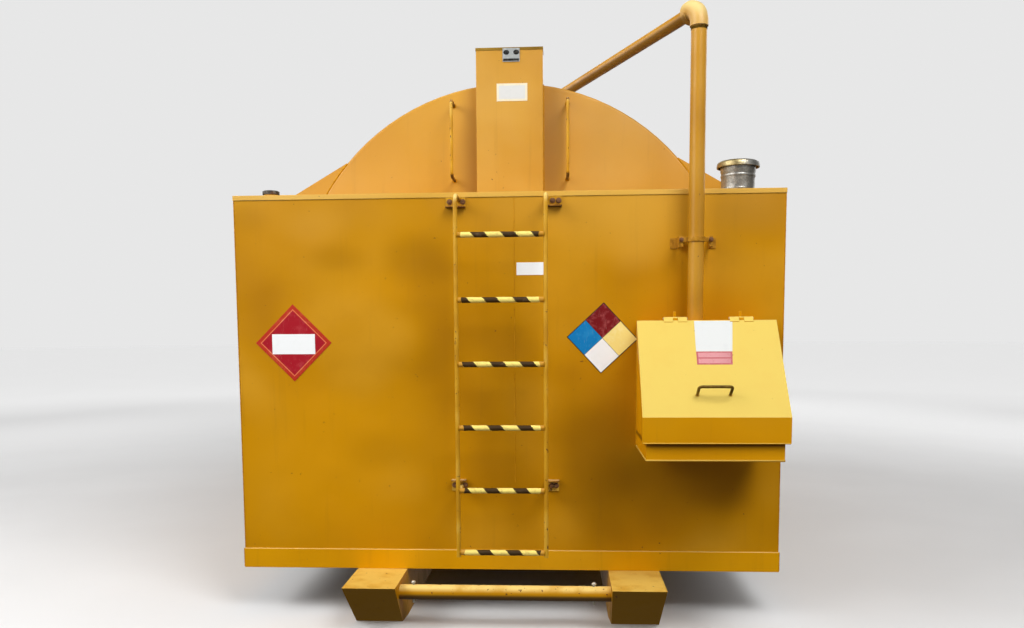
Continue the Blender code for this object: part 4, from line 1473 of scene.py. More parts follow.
def rod(bm: bmesh.types.BMesh, start: Vector, end: Vector, radius: float) -> None:
    """Add a round rod with domed ends to a bmesh.

    Args:
        bm: Mesh to add to.
        start: Middle of one end.
        end: Middle of the other end.
        radius: Its radius.
    """
    length = (end - start).length
    dome = radius * DOME
    side = (radius * SHOULDER, dome * 0.55)
    profile = [(0, -dome), (side[0], -side[1]), (radius, 0)]
    profile += [(radius, length), (side[0], length + side[1]), (0, length + dome)]
    frame = Matrix.Translation(start) @ (end - start).to_track_quat("Z", "Y").to_matrix().to_4x4()
    turned(bm, profile, frame, ROD_SIDES)


@dataclass
class Assembly:
    """What every sub-assembly works with."""

    shop: Shop
    welds: WeldTree
    bolts: BoltTree


@dataclass
class Skids(Assembly):
    """The two runners, the drag pipes between their noses, and the pipes' pins."""

    inner_x: float = 0.510
    outer_x: float = 0.764
    pipe_y: float = FRONT_Y - 0.20
    pin_x: Pair = (-0.446, 0.430)
    pin_radius: float = 0.0065
    pin_low: float = 0.126
    pin_high: float = 0.236
    weld_z: float = 0.2395
    weld_inset: float = 0.05

    def build(self) -> None:
        """Dress the runners and pipes, and add pins and welds."""
        for side in ("left", "right"):
            self.shop.carry("skid_" + side, SKID_PAINT, edge=0.0035)
        for end in ("front", "rear"):
            self.shop.carry("tow_pipe_" + end, TOW_PAINT, edge=0.001)
        self.build_pins()
        self.build_welds()

    def build_pins(self) -> None:
        """Upright pins with domed heads through both drag pipes."""
        bm = bmesh.new()
        radius, low, high = self.pin_radius, self.pin_low, self.pin_high
        profile = [(0, low), (radius * 0.7, low), (radius, low + 0.004), (radius, high - 0.012)]
        profile += [(radius * 1.7, high - 0.011), (radius * 1.7, high - 0.005)]
        profile += [(radius * 1.1, high), (0, high)]
        for y in (self.pipe_y, FRONT_Y + REAR_Y - self.pipe_y):
            for x in self.pin_x:
                turned(bm, profile, Matrix.Translation((x, y, 0)), 16)
        self.shop.piece("drag_pipe_pins", bm, [PIN_STEEL])

    def build_welds(self) -> None:
        """Beads along the runners' outer corners under the base frame."""
        ends = (FRONT_Y + self.weld_inset, REAR_Y - self.weld_inset)
        paths = [[(x, y, self.weld_z) for y in ends] for x in (self.inner_x, self.outer_x)]
        self.welds.lay("skid_welds", mirrored(paths), radius=0.0035, step=0.006)


@dataclass
class Box(Assembly):
    """Base frame, floor and the four walls, with their plate seams."""

    seam_x: float = 0.0435
    seam_low: float = 0.69
    seam_top: float = DECK_TOP - 0.03
    side_seams: Pair = (-0.815, 0.985)
    corner_top: float = DECK_TOP - 0.025
    channel_low: float = 0.246
    proud: float = 0.006

    def build(self) -> None:
        """Dress the plates and lay the welds."""
        for side in ("front", "rear", "left", "right"):
            self.shop.carry("base_channel_" + side, CHANNEL_PAINT, edge=0.002)
            self.shop.carry(side + "_wall", FRONT_PAINT if side == "front" else PLATE_PAINT)
        # The floor's downward faces are painted near-black as shade
        self.shop.carry("floor", UNDERSIDE_SHADE_PAINT, edge=0)
        self.build_seams()
        self.build_corners()

    def build_seams(self) -> None:
        """Flush plate seams in the walls."""
        spots = [(self.seam_x, FRONT_Y, self.seam_low), (self.seam_x, REAR_Y, CHANNEL_TOP)]
        spots += [(x, y, CHANNEL_TOP) for y in self.side_seams for x in (-HALF_WIDTH, HALF_WIDTH)]
        paths = [[(x, y, low), (x, y, self.seam_top)] for x, y, low in spots]
        self.welds.lay("wall_seams", paths, radius=0.0013)

    def build_corners(self) -> None:
        """Beads at the box's corners and along the top of the base frame."""
        paths = []
        out = self.proud - SUNK
        reach = HALF_WIDTH + self.proud - SUNK
        for y in (FRONT_Y, REAR_Y):
            face = y + math.copysign(out, y)
            for x in (-1, 1):
                paths.append([(x * HALF_WIDTH, y, z) for z in (CHANNEL_TOP, self.corner_top)])
                paths.append([(x * reach, face, z) for z in (self.channel_low, CHANNEL_TOP)])
            paths.append([(x, y, CHANNEL_TOP) for x in (-HALF_WIDTH, HALF_WIDTH)])
        for x in (-HALF_WIDTH, HALF_WIDTH):
            paths.append([(x, y, CHANNEL_TOP) for y in (FRONT_Y, REAR_Y)])
        self.welds.lay("box_welds", paths, radius=0.0026)


@dataclass
class Cylinder(Assembly):
    """Shell, heads, saddles and the decks that close the box round them."""

    ridge: float = 41.25
    deck_angle: float = 26.7
    housing_gap: float = 0.18
    seam_in: float = 0.07
    arc_in: float = 0.005
    arc_sunk: float = 0.003
    ridge_out: float = 0.002

    def build(self) -> None:
        """Dress the cylinder and the decks, and lay their welds."""
        for node in ("tank_shell", "saddle_front", "saddle_rear"):
            self.shop.carry(node, HEAD_PAINT, edge=0)
        for end, paint in (("front", FRONT_HEAD_PAINT), ("rear", HEAD_PAINT)):
            self.shop.carry("tank_head_" + end, paint, edge=0)
            self.shop.carry(end + "_deck", DECK_PAINT, edge=0.002)
        for side in ("left", "right"):
            self.shop.carry("side_deck_" + side, HEAD_PAINT)
        self.build_welds()

    def build_welds(self) -> None:
        """Beads where the head, decks and shell meet."""
        face = TANK_FRONT - SUNK
        seam = TANK_FRONT + self.seam_in
        foot = on_circle(self.deck_angle, face)[0]
        radius = TANK_RADIUS - self.arc_sunk
        paths = mirrored([arc(self.deck_angle, self.ridge, face + self.arc_in, radius)])
        spans = ((-foot, -self.housing_gap), (self.housing_gap, foot))
        spans += ((foot, HALF_WIDTH), (-foot, -HALF_WIDTH))
        paths += [[(x, face, DECK_TOP) for x in span] for span in spans]
        paths.append(arc(self.ridge, 180 - self.ridge, seam, count=48))
        self.welds.lay("head_welds", fore_and_aft(paths), radius=0.0055)
        x, _, z = on_circle(self.ridge, 0.0, TANK_RADIUS + self.ridge_out)
        line = [(x, y, z) for y in (seam, TANK_REAR - self.seam_in)]
        self.welds.lay("ridge_welds", mirrored([line]), radius=0.0040)


@dataclass
class GaugeHousing(Assembly):
    """The upright housing against the front head, its cap sheet, badge and label."""

    half: float = 0.178
    depth: float = 0.10
    top: float = 2.94
    cap_depth: float = 0.012
    cap_sheet: float = 0.0022
    label: Edges = (-0.068, 0.096, 2.664, 2.756)
    label_border: float = 0.011
    badge: Edges = (-0.035, 0.0555, 2.867, 2.937)
    badge_out: float = 0.0024
    badge_sheet: float = 0.0016
    print_out: float = 0.0039
    strip_inset: float = 0.003
    strip_rise: Pair = (0.004, 0.016)
    oval_inset: Pair = (0.020, 0.018)
    oval_half: Pair = (0.0160, 0.0125)
    oval_drop: float = 0.022
    oval_depth: float = 0.0006

    @property
    def face(self) -> float:
        """Return Y of the housing's front."""
        return TANK_FRONT - self.depth

    def build(self) -> None:
        """Dress the housing and add its cap, label, badge and welds."""
        self.shop.carry("gauge_housing", HOUSING_PAINT, edge=0.0022)
        self.build_cap()
        self.build_label()
        self.build_badge()
        self.build_welds()

    def build_cap(self) -> None:
        """A folded cap sheet whose edge overlaps the housing on all sides, painted dark as shade.
        """
        loops = []
        low = self.top - self.cap_depth
        for out, narrow, z in (
            (0.0, 1.0, self.top),
            (0.0, 1.0, low),
            (self.cap_sheet, 1.0, low),
            (self.cap_sheet, 1.0, self.top + self.cap_sheet * 0.6),
            (0.0, 0.985, self.top + self.cap_sheet),
        ):
            x = (self.half + out) * narrow
            front, rear = self.face - out, TANK_FRONT + out
            loops.append([(-x, front, z), (x, front, z), (x, rear, z), (-x, rear, z)])
        bm = bmesh.new()
        loft(bm, loops)
        self.shop.piece("housing_cap", bm, [CAP_SHADE_PAINT], slot=Slot.PAINT)

    def stick(
        self, bm: bmesh.types.BMesh, edges: Edges, out: float, depth: float, index: int
    ) -> None:
        """Add an upright plate in front of the housing.

        Args:
            bm: Mesh to add to.
            edges: Left, right, bottom and top.
            out: Distance of its back in front of the housing's face.
            depth: Its thickness.
            index: Material index.
        """
        slab(bm, upright(edges, self.face - out), FORWARD * depth, index)

    def build_label(self) -> None:
        """A white label with a cream border."""
        bm = bmesh.new()
        self.stick(bm, self.label, STUCK_ON, LABEL_SHEET, 1)
        left, right, low, high = self.label
        border = self.label_border
        inner = (left + border, right - border, low + border, high - border)
        self.stick(bm, inner, STUCK_ON + LABEL_SHEET - STEP, FILM, 0)
        self.shop.piece("housing_label", bm, [LID_WHITE, CREAM_EDGE])

    def build_badge(self) -> None:
        """A small plain plate with two dark oval slots and a dark lower strip."""
        bm = bmesh.new()
        left, right, low, high = self.badge
        self.stick(bm, self.badge, self.badge_out, self.badge_sheet, 0)
        rise = (low + self.strip_rise[0], low + self.strip_rise[1])
        strip = (left + self.strip_inset, right - self.strip_inset, *rise)
        self.stick(bm, strip, self.print_out, FILM, 1)
        y = self.face - self.print_out
        z = high - self.oval_drop
        wide, tall = self.oval_half
        for x in (left + self.oval_inset[0], right - self.oval_inset[1]):
            oval = [(x + wide * c, y, z + tall * s) for c, s in around(20)]
            slab(bm, oval, FORWARD * self.oval_depth, 1)
        self.shop.piece("housing_badge", bm, [GREY_PLATE, DARK_PRINT])

    def build_welds(self) -> None:
        """Rough beads down both sides and round the foot."""
        back = TANK_FRONT - SUNK
        crest = TANK_Z + math.sqrt(TANK_RADIUS**2 - self.half**2)
        sides = mirrored([[(self.half, back, z) for z in (DECK_TOP, crest)]])
        self.welds.lay("housing_side_welds", sides, radius=0.0055)
        corners = ((-1, back), (-1, self.face), (1, self.face), (1, back))
        foot = [(side * self.half, y, DECK_TOP) for side, y in corners]
        self.welds.lay("housing_foot_welds", [foot], radius=0.0038)


@dataclass
class GrabRails(Assembly):
    """The two hand rails on the front head."""

    x: float = 0.31
    ends_z: Pair = (2.27, 2.67)
    radius: float = 0.0085

    def build(self) -> None:
        """Dress the rails and weld their feet."""
        for side in ("left", "right"):
            # The bent-in feet take the dark clip finish as painted shade
            feet = (CLIP_PAINT, self.on_foot)
            self.shop.carry("grab_rail_" + side, RAIL_PAINT, edge=0, second=feet)
        spots = [(x, TANK_FRONT - SUNK, z) for z in self.ends_z for x in (-self.x, self.x)]
        rings = [ring(spot, BACK, self.radius + RING_OUT) for spot in spots]
        self.welds.lay("grab_rail_welds", rings, radius=0.0035)

    def on_foot(self, spot: Vector) -> bool:
        """Tell whether a face's middle lies on one of the bent-in feet."""
        return min(abs(spot.z - z) for z in self.ends_z) < self.radius * 1.5


@dataclass
class Ladder(Assembly):
    """Rails, taped rungs, and the bolts that hold the rails' clips to the wall."""

    rail_x: Pair = (-0.2246, 0.2006)
    out: float = 0.178
    rail_radius: float = 0.0105
    rail_ends_z: Pair = (2.084, 0.668)
    clip_reach: float = 0.042
    clip_plate: float = 0.0064
    rung_radius: float = 0.0125
    rung_sunk: float = 0.002
    first_z: float = 0.3727
    step_z: float = 0.3048
    tape: float = 0.0009
    tape_ends: Pair = (-0.196, 0.172)
    tape_sides: int = 20
    tape_steps: int = 46
    tape_sway: float = 0.004
    tape_tuck: float = 0.00005
    creases: Pair = (31.0, 17.0)
    crease_height: float = 0.35
    band_pair: float = 0.1425
    dark_centres: tuple[float, ...] = (-0.092, -0.057, -0.037, -0.024, -0.056, -0.111)
    top_z: float = 2.074
    low_z: float = 0.674
    top_bolts_x: tuple[float, ...] = (-0.271, -0.207, 0.232, 0.262)
    low_bolts_x: tuple[float, ...] = (-0.261, -0.2085, 0.227, 0.2485)

    def build(self) -> None:
        """Dress the ladder and add tape, bolts and welds."""
        for side in ("left", "right"):
            clips = (CLIP_PAINT, self.on_clip)
            self.shop.carry("ladder_rail_" + side, RAIL_PAINT, edge=0.001, second=clips)
        for index in range(len(self.dark_centres)):
            self.shop.carry(f"rung_{index + 1}", HEAD_PAINT, edge=0, slot=Slot.TAPE)
        self.build_tape()
        self.build_bolts()
        self.build_welds()

    def on_clip(self, spot: Vector) -> bool:
        """Tell whether a face's middle lies on a wall clip and off the rails."""
        near_wall = spot.y > FRONT_Y - self.clip_reach
        near_rail = min(abs(spot.x - x) for x in self.rail_x) < self.rail_radius * 1.2
        return near_wall and not near_rail

    def rung_z(self, index: int) -> float:
        """Return the height of a rung, counted from 0 at the bottom."""
        return self.first_z + self.step_z * index

    def build_tape(self) -> None:
        """Wrap each rung in tape with its own band positions."""
        bm = bmesh.new()
        layer = bm.loops.layers.uv.new("wrap")
        for index in range(len(self.dark_centres)):
            self.wrap(bm, layer, index)
        self.shop.piece("rung_tape", bm, [WoundTape()], slot=Slot.TAPE, sharp=60.0)

    def wrap(self, bm: bmesh.types.BMesh, layer: bmesh.types.BMLayerItem, index: int) -> None:
        """Add one closed sleeve of tape to a bmesh, with creases and uneven ends.

        Args:
            bm: Mesh to add to.
            layer: UV layer to fill.
            index: Number of the rung, which also shifts the creases.
        """
        sides, steps = self.tape_sides, self.tape_steps
        centre = self.dark_centres[index]
        low, high = self.tape_ends
        often, seldom = self.creases
        skin: list[list[bmesh.types.BMVert]] = []
        place: dict[bmesh.types.BMVert, Pair] = {}
        for i in range(-1, steps + 2):
            share = min(max(i, 0), steps) / steps
            spots = []
            for k in range(sides):
                turn = k / sides
                angle = 2 * math.pi * turn
                crease = math.sin(often * share + 2 * angle + index)
                crease *= math.sin(seldom * share - index)
                radius = self.rung_radius + self.tape * (1.0 + self.crease_height * crease)
                if not 0 <= i <= steps:
                    radius = self.rung_radius + self.tape_tuck
                x = low + (high - low) * share + self.tape_sway * math.sin(angle + index)
                y = FRONT_Y - self.out - radius * math.cos(angle)
                vert = bm.verts.new((x, y, self.rung_z(index) + radius * math.sin(angle)))
                place[vert] = ((x - centre) / self.band_pair, turn)
                spots.append(vert)
            skin.append(spots)
        girth = 2 * math.pi * self.rung_radius
        for first, second in zip(skin, skin[1:] + skin[:1]):
            for k in range(sides):
                j = (k + 1) % sides
                face = bm.faces.new((first[k], first[j], second[j], second[k]))
                for loop in face.loops:
                    along, turn = place[loop.vert]
                    if loop.vert in (first[j], second[j]) and j == 0:
                        turn = 1.0
                    if turn > 0.5 or (turn == 0.5 and k >= sides / 2):
                        turn -= 1.0
                    loop[layer].uv = (along, turn * girth)

    def build_bolts(self) -> None:
        """Bolts beside the rails in their top and lower clips."""
        rows = ((self.top_bolts_x, self.top_z), (self.low_bolts_x, self.low_z))
        seats = [(x, FRONT_Y - self.clip_plate, z) for row, z in rows for x in row]
        self.bolts.place("ladder_bolts", [(seat, FORWARD) for seat in seats], head=0.0105)

    def build_welds(self) -> None:
        """Rings where rungs meet rails and where the rails meet their clips."""
        rings = []
        for index in range(len(self.dark_centres)):
            for x in self.rail_x:
                edge = x - math.copysign(self.rail_radius - self.rung_sunk, x)
                spot = (edge, FRONT_Y - self.out, self.rung_z(index))
                rings.append(ring(spot, (1, 0, 0), self.rung_radius, 16))
        for x in self.rail_x:
            for z in self.rail_ends_z:
                spot = (x, FRONT_Y - self.clip_plate - STEP, z)
                rings.append(ring(spot, BACK, self.rail_radius + RING_OUT, 16))
        self.welds.lay("ladder_welds", rings, radius=0.0022)


@dataclass
class SpillBox(Assembly):
    """The box round the riser's foot, its sloped lid with handle, hinges and label."""

    x: float = 0.945
    half: float = 0.300
    low: float = 0.875
    top: float = 1.482
    riser_hole: float = 0.0375
    hinge_out: float = 0.198
    hinge_z: float = 1.4985
    slope: float = math.radians(53.63)
    plate: float = 0.004
    depth: float = 0.495
    fold: float = 0.0048
    lid_half: float = 0.320
    lip_out: float = 0.520
    lip_low: float = 0.954
    hem: float = 0.0028
    sunk_share: float = 0.4
    knuckles: Pair = (0.803, 1.106)
    knuckle_reach: float = 0.0535
    knuckle_radius: float = 0.007
    handle_x: Pair = (0.870, 1.014)
    handle_along: float = 0.422
    handle_foot: float = 0.0073
    white: tuple[Pair, ...] = ((0.8835, 0.190), (1.046, 0.190), (1.064, 0.018), (0.888, 0.018))
    pink: tuple[Pair, ...] = (
        (0.8825, 0.262),
        (1.0405, 0.262),
        (1.046, 0.1905),
        (0.8835, 0.1905),
    )
    frames: tuple[Pair, ...] = ((0.10, 0.45), (0.55, 0.90))
    frame_sides: Pair = (0.05, 0.95)

    def build(self) -> None:
        """Dress the box and lid, and add label, pins, hem, folds and welds."""
        self.shop.carry("spill_box", SPILL_PAINT, second=(LID_PAINT, self.on_stop_tab))
        self.shop.carry("spill_box_lid", LID_PAINT, edge=0.0018, body=Body.LID, slot=Slot.LID)
        # The handle is painted dark as shade
        self.shop.carry("lid_handle", HANDLE_SHADE_PAINT, edge=0, body=Body.LID, slot=Slot.HANDLE)
        self.build_label()
        self.build_pins()
        self.build_hem()
        self.build_folds()
        self.build_welds()

    def on_stop_tab(self, spot: Vector) -> bool:
        """Tell whether a face's middle lies on a tab beside the hinges."""
        return spot.z > self.top + self.hem

    def on_lid(self, x: float, along: float, out: float) -> Point:
        """Return a point by its distance down the lid from the hinge and above its underside."""
        depth = self.hinge_out + along * math.cos(self.slope) + out * math.sin(self.slope)
        z = self.hinge_z - along * math.sin(self.slope) + out * math.cos(self.slope)
        return (x, FRONT_Y - depth, z)

    def off_lid(self, out: float) -> Vector:
        """Return the vector that leads a distance straight out of the lid."""
        return Vector(self.on_lid(0, 0, out)) - Vector(self.on_lid(0, 0, 0))

    def patch(
        self, bm: bmesh.types.BMesh, corners: Sequence[Sequence[float]], out: float, index: int
    ) -> None:
        """Add one thin quadrilateral of film to the lid.

        Args:
            bm: Mesh to add to.
            corners: X and distance along the lid of its corners.
            out: Distance of its back above the lid's face.
            index: Material index.
        """
        outline = [self.on_lid(x, along, self.plate + out) for x, along in corners]
        slab(bm, outline, self.off_lid(FILM), index)

    def build_label(self) -> None:
        """A white label, and a pink one below it with a darker frame and middle line."""
        bm = bmesh.new()
        self.patch(bm, self.white, STEP, 0)
        self.patch(bm, self.pink, STEP, 2)
        low_left, low_right, top_right, top_left = (Vector(corner) for corner in self.pink)
        first, last = self.frame_sides
        for upper, lower in self.frames:
            corners = []
            for share in (lower, upper):
                left = top_left.lerp(low_left, share)
                right = top_right.lerp(low_right, share)
                corners.append((left.lerp(right, first), left.lerp(right, last)))
            (low_near, low_far), (high_near, high_far) = corners
            self.patch(bm, (low_near, low_far, high_far, high_near), STEP + FILM, 1)
        self.shop.piece("lid_label", bm, [LID_WHITE, PINK_FIELD, PINK_FRAME], Body.LID)

    def build_pins(self) -> None:
        """Domed ends of the hinge pins."""
        bm = bmesh.new()
        radius = self.knuckle_radius * 0.72
        profile = [(0, 0), (radius, 0), (radius, 0.0015), (radius * 0.6, 0.003), (0, 0.0034)]
        for x in self.knuckles:
            for side in (-1, 1):
                spot = (x + side * self.knuckle_reach, FRONT_Y - self.hinge_out, self.hinge_z)
                frame = Matrix.Translation(spot) @ Matrix.Rotation(side * math.pi / 2, 4, "Y")
                turned(bm, profile, frame, ROD_SIDES)
        self.shop.piece("hinge_pin_heads", bm, [PIN_STEEL])

    def build_hem(self) -> None:
        """The rolled hem along the lid's front lip."""
        bm = bmesh.new()
        y = FRONT_Y - self.lip_out + self.hem * self.sunk_share
        start = Vector((self.x - self.lid_half + self.hem, y, self.lip_low))
        length = 2 * (self.lid_half - self.hem)
        rod(bm, start, start + Vector((length, 0, 0)), self.hem)
        # The hem's upward faces take the lid paint's pale tone: a painted highlight along the lip's
        # lower edge
        self.shop.piece("lid_hem", bm, [LID_PAINT], Body.LID, Slot.LID, sharp=60.0)

    def build_folds(self) -> None:
        """The rounded folds under the box, painted pale as a highlight along its lower edges."""
        bm = bmesh.new()
        near = FRONT_Y - self.depth + self.fold * self.sunk_share
        left, right = self.x - self.half, self.x + self.half
        inward = self.fold * self.sunk_share
        for x in (left + inward, right - inward):
            rod(bm, Vector((x, near, self.low)), Vector((x, FRONT_Y, self.low)), self.fold)
        rod(bm, Vector((left, near, self.low)), Vector((right, near, self.low)), self.fold)
        self.shop.piece("spill_box_folds", bm, [EDGE_HIGHLIGHT_PAINT], slot=Slot.PAINT, sharp=60.0)

    def build_welds(self) -> None:
        """Beads round the box's back and the riser, and round the handle's feet."""
        back = upright((self.x - self.half, self.x + self.half, self.low, self.top), FRONT_Y)
        back = [back[0], back[3], back[2], back[1], back[0]]
        riser = ring((RISER_X, FRONT_Y - RISER_OUT, self.top), UP, self.riser_hole, 28)
        self.welds.lay("spill_box_welds", [back, riser], radius=0.0030)
        normal = tuple(self.off_lid(1))
        spots = [self.on_lid(x, self.handle_along, self.plate) for x in self.handle_x]
        feet = [ring(spot, normal, self.handle_foot, 14) for spot in spots]
        self.welds.lay("handle_welds", feet, radius=0.0022, body=Body.LID, slot=Slot.LID)


@dataclass
class FillLine(Assembly):
    """Riser, elbows, level run and clamp, with thread rings and the clamp's bolts."""

    threads_z: float = 2.824
    radius: float = 0.0365
    thread: float = 0.0015
    thread_in: float = 0.002
    pitch: float = 0.0032
    turns: int = 4
    clamp_z: float = 1.8697
    clamp_x: float = 0.0695
    clamp_out: float = 0.1041
    drop_y: float = -0.6615

    def build(self) -> None:
        """Dress the pipes and the clamp, and add threads, bolts and the crest weld."""
        for node in ("fill_riser", "fill_run"):
            self.shop.carry(node, PIPE_PAINT, edge=0)
        for node in ("fill_elbow", "fill_drop"):
            self.shop.carry(node, ELBOW_PAINT)
        self.shop.carry("riser_clamp", CLAMP_PAINT, edge=0.001)
        self.build_threads()
        seats = [
            (RISER_X + side * self.clamp_x, FRONT_Y - self.clamp_out, self.clamp_z)
            for side in (-1, 1)
        ]
        self.bolts.place("clamp_bolts", [(seat, FORWARD) for seat in seats], head=0.0085)
        crest = ring((0.0, self.drop_y, TANK_Z + TANK_RADIUS), UP, self.radius + RING_OUT, 28)
        self.welds.lay("fill_drop_weld", [crest], radius=0.0045)

    def build_threads(self) -> None:
        """Exposed pipe threads under the elbow's collar, painted dark as the shade there."""
        bm = bmesh.new()
        inner, root = self.radius - self.thread_in, self.radius + STEP
        crest = self.radius + self.thread
        profile = [(inner, 0)]
        for i in range(self.turns):
            profile += [(root, self.pitch * i), (crest, self.pitch * (i + 0.5))]
        profile += [(out, self.pitch * self.turns) for out in (root, inner)]
        frame = Matrix.Translation((RISER_X, FRONT_Y - RISER_OUT, self.threads_z))
        turned(bm, profile, frame, 40)
        self.shop.piece("riser_threads", bm, [HANDLE_SHADE_PAINT], slot=Slot.PAINT, sharp=20.0)


@dataclass
class DeckFittings(Assembly):
    """Emergency vent with its loose cap, and the monitor stub with its plug."""

    vent: Pair = (1.18, FRONT_Y + 0.30)
    foot: float = 0.0945
    neck: float = 0.0845
    bands: tuple[Point, ...] = ((2.160, 0.0022, 0.004), (2.226, 0.0030, 0.006))
    plug: Pair = (-1.259, FRONT_Y + 0.30)
    stub_radius: float = 0.0375
    plug_radius: float = 0.0425
    plug_levels: Pair = (2.1685, 2.1845)
    lugs: int = 10
    lug: tuple[Pair, ...] = ((-0.001, -0.006), (0.002, -0.0045), (0.002, 0.0045), (-0.001, 0.006))

    def build(self) -> None:
        """Dress the fittings and add the vent's bands, the plug's lugs and a weld."""
        self.shop.carry("vent_body", Zinc(), edge=0.0012, slot=Slot.ZINC)
        self.shop.carry("vent_cap", CAP_ZINC, edge=0.0012, body=Body.VENT_CAP, slot=Slot.ZINC)
        self.shop.carry("monitor_stub", HEAD_PAINT, edge=0.001)
        self.shop.carry("monitor_plug", PLUG_IRON, edge=0.001, slot=Slot.PLUG)
        self.build_bands()
        self.build_lugs()
        stub = ring((*self.plug, DECK_TOP), UP, self.stub_radius, 24)
        vent = ring((*self.vent, DECK_TOP), UP, self.foot, 40)
        self.welds.lay("fitting_welds", [stub, vent], radius=0.0030)

    def build_bands(self) -> None:
        """Raised cast bands round the vent's neck, from their height, rise and half width."""
        bm = bmesh.new()
        for z, proud, tall in self.bands:
            lower = [(-0.002, -tall), (proud * 0.6, -tall), (proud, -tall * 0.3)]
            upper = [(out, -height) for out, height in reversed(lower)]
            profile = [(self.neck + out, height) for out, height in lower + upper]
            turned(bm, profile, Matrix.Translation((*self.vent, z)), 48)
        self.shop.piece("vent_bands", bm, [BAND_ZINC], slot=Slot.ZINC)

    def build_lugs(self) -> None:
        """Grip lugs round the plug."""
        bm = bmesh.new()
        for k in range(self.lugs):
            angle = 2 * math.pi * k / self.lugs
            frame = Matrix.Translation((*self.plug, 0)) @ Matrix.Rotation(angle, 4, "Z")
            spots = [(self.plug_radius + out, side) for out, side in self.lug]
            loft(bm, [[frame @ Vector((*spot, z)) for spot in spots] for z in self.plug_levels])
        self.shop.piece("plug_lugs", bm, [PLUG_IRON], slot=Slot.PLUG)


@dataclass
class Plates(Assembly):
    """The two diamond plates and the small label on the front wall."""

    red_centre: Pair = (-1.067, 1.391)
    red_half: float = 0.193
    line_in: float = 0.024
    field_in: float = 0.031
    panel: Pair = (0.109, 0.050)
    panel_drop: float = 0.006
    four_centre: Pair = (0.4755, 1.4075)
    four_half: float = 0.1745
    four_edge: float = 0.004
    four_gap: float = 0.0012
    four_tilt: float = math.radians(-2.1)
    label: Edges = (0.055, 0.187, 1.718, 1.779)
    lift: float = 0.0003
    depth: float = 0.0016
    film: float = 0.0003

    def build(self) -> None:
        """Build all three."""
        self.build_red()
        self.build_four()
        self.build_label()

    def diamond(self, centre: Pair, half: float, out: float, tilt: float = 0.0) -> Path:
        """Return the four tips of an upright diamond.

        Args:
            centre: X and Z of its middle.
            half: Distance from its middle to a tip.
            out: Distance in front of the wall.
            tilt: Turn to the left as seen from the front, in radians.

        Returns:
            Right, top, left and bottom tip.
        """
        tips = []
        for k in range(4):
            angle = tilt + k * math.pi / 2
            x = centre[0] + half * math.cos(angle)
            tips.append((x, FRONT_Y - out, centre[1] + half * math.sin(angle)))
        return tips

    def build_red(self) -> None:
        """A red plate with an orange strip, an inset line and a white panel."""
        bm = bmesh.new()
        film = FORWARD * self.film
        front = self.lift + self.depth
        for inset, out, push, index in (
            (0.0, self.lift, FORWARD * self.depth, 1),
            (self.line_in, front - STEP, film, 2),
            (self.field_in, front + STEP, film, 0),
        ):
            slab(bm, self.diamond(self.red_centre, self.red_half - inset, out), push, index)
        x, z = self.red_centre
        wide, tall = self.panel
        z -= self.panel_drop
        corners = upright((x - wide, x + wide, z - tall, z + tall), FRONT_Y - front - self.film)
        slab(bm, corners, film, 3)
        finishes = [RED_FIELD, RED_STRIP, RED_LINE, WHITE_FIELD]
        self.shop.piece("red_plate", bm, finishes)

    def build_four(self) -> None:
        """A dark-edged plate with four coloured fields."""
        bm = bmesh.new()
        plate = self.diamond(self.four_centre, self.four_half, self.lift, self.four_tilt)
        slab(bm, plate, FORWARD * self.depth, 0)
        tips = self.diamond((0.0, 0.0), 1.0, 0.0, self.four_tilt)
        reach = (self.four_half - self.four_edge) / 2
        out = self.lift + self.depth - STEP
        for (tip_x, _, tip_z), index in zip(tips, (4, 1, 2, 3)):
            centre = (self.four_centre[0] + tip_x * reach, self.four_centre[1] + tip_z * reach)
            field_tips = self.diamond(centre, reach - self.four_gap, out, self.four_tilt)
            slab(bm, field_tips, FORWARD * self.film, index)
        finishes = [DARK_PRINT, FADED_RED, BLUE_FIELD, WHITE_FIELD, YELLOW_FIELD]
        self.shop.piece("four_colour_plate", bm, finishes)

    def build_label(self) -> None:
        """A small white label between the ladder's rails."""
        bm = bmesh.new()
        slab(bm, upright(self.label, FRONT_Y - STUCK_ON), FORWARD * LABEL_SHEET)
        self.shop.piece("wall_label", bm, [WHITE_FIELD])


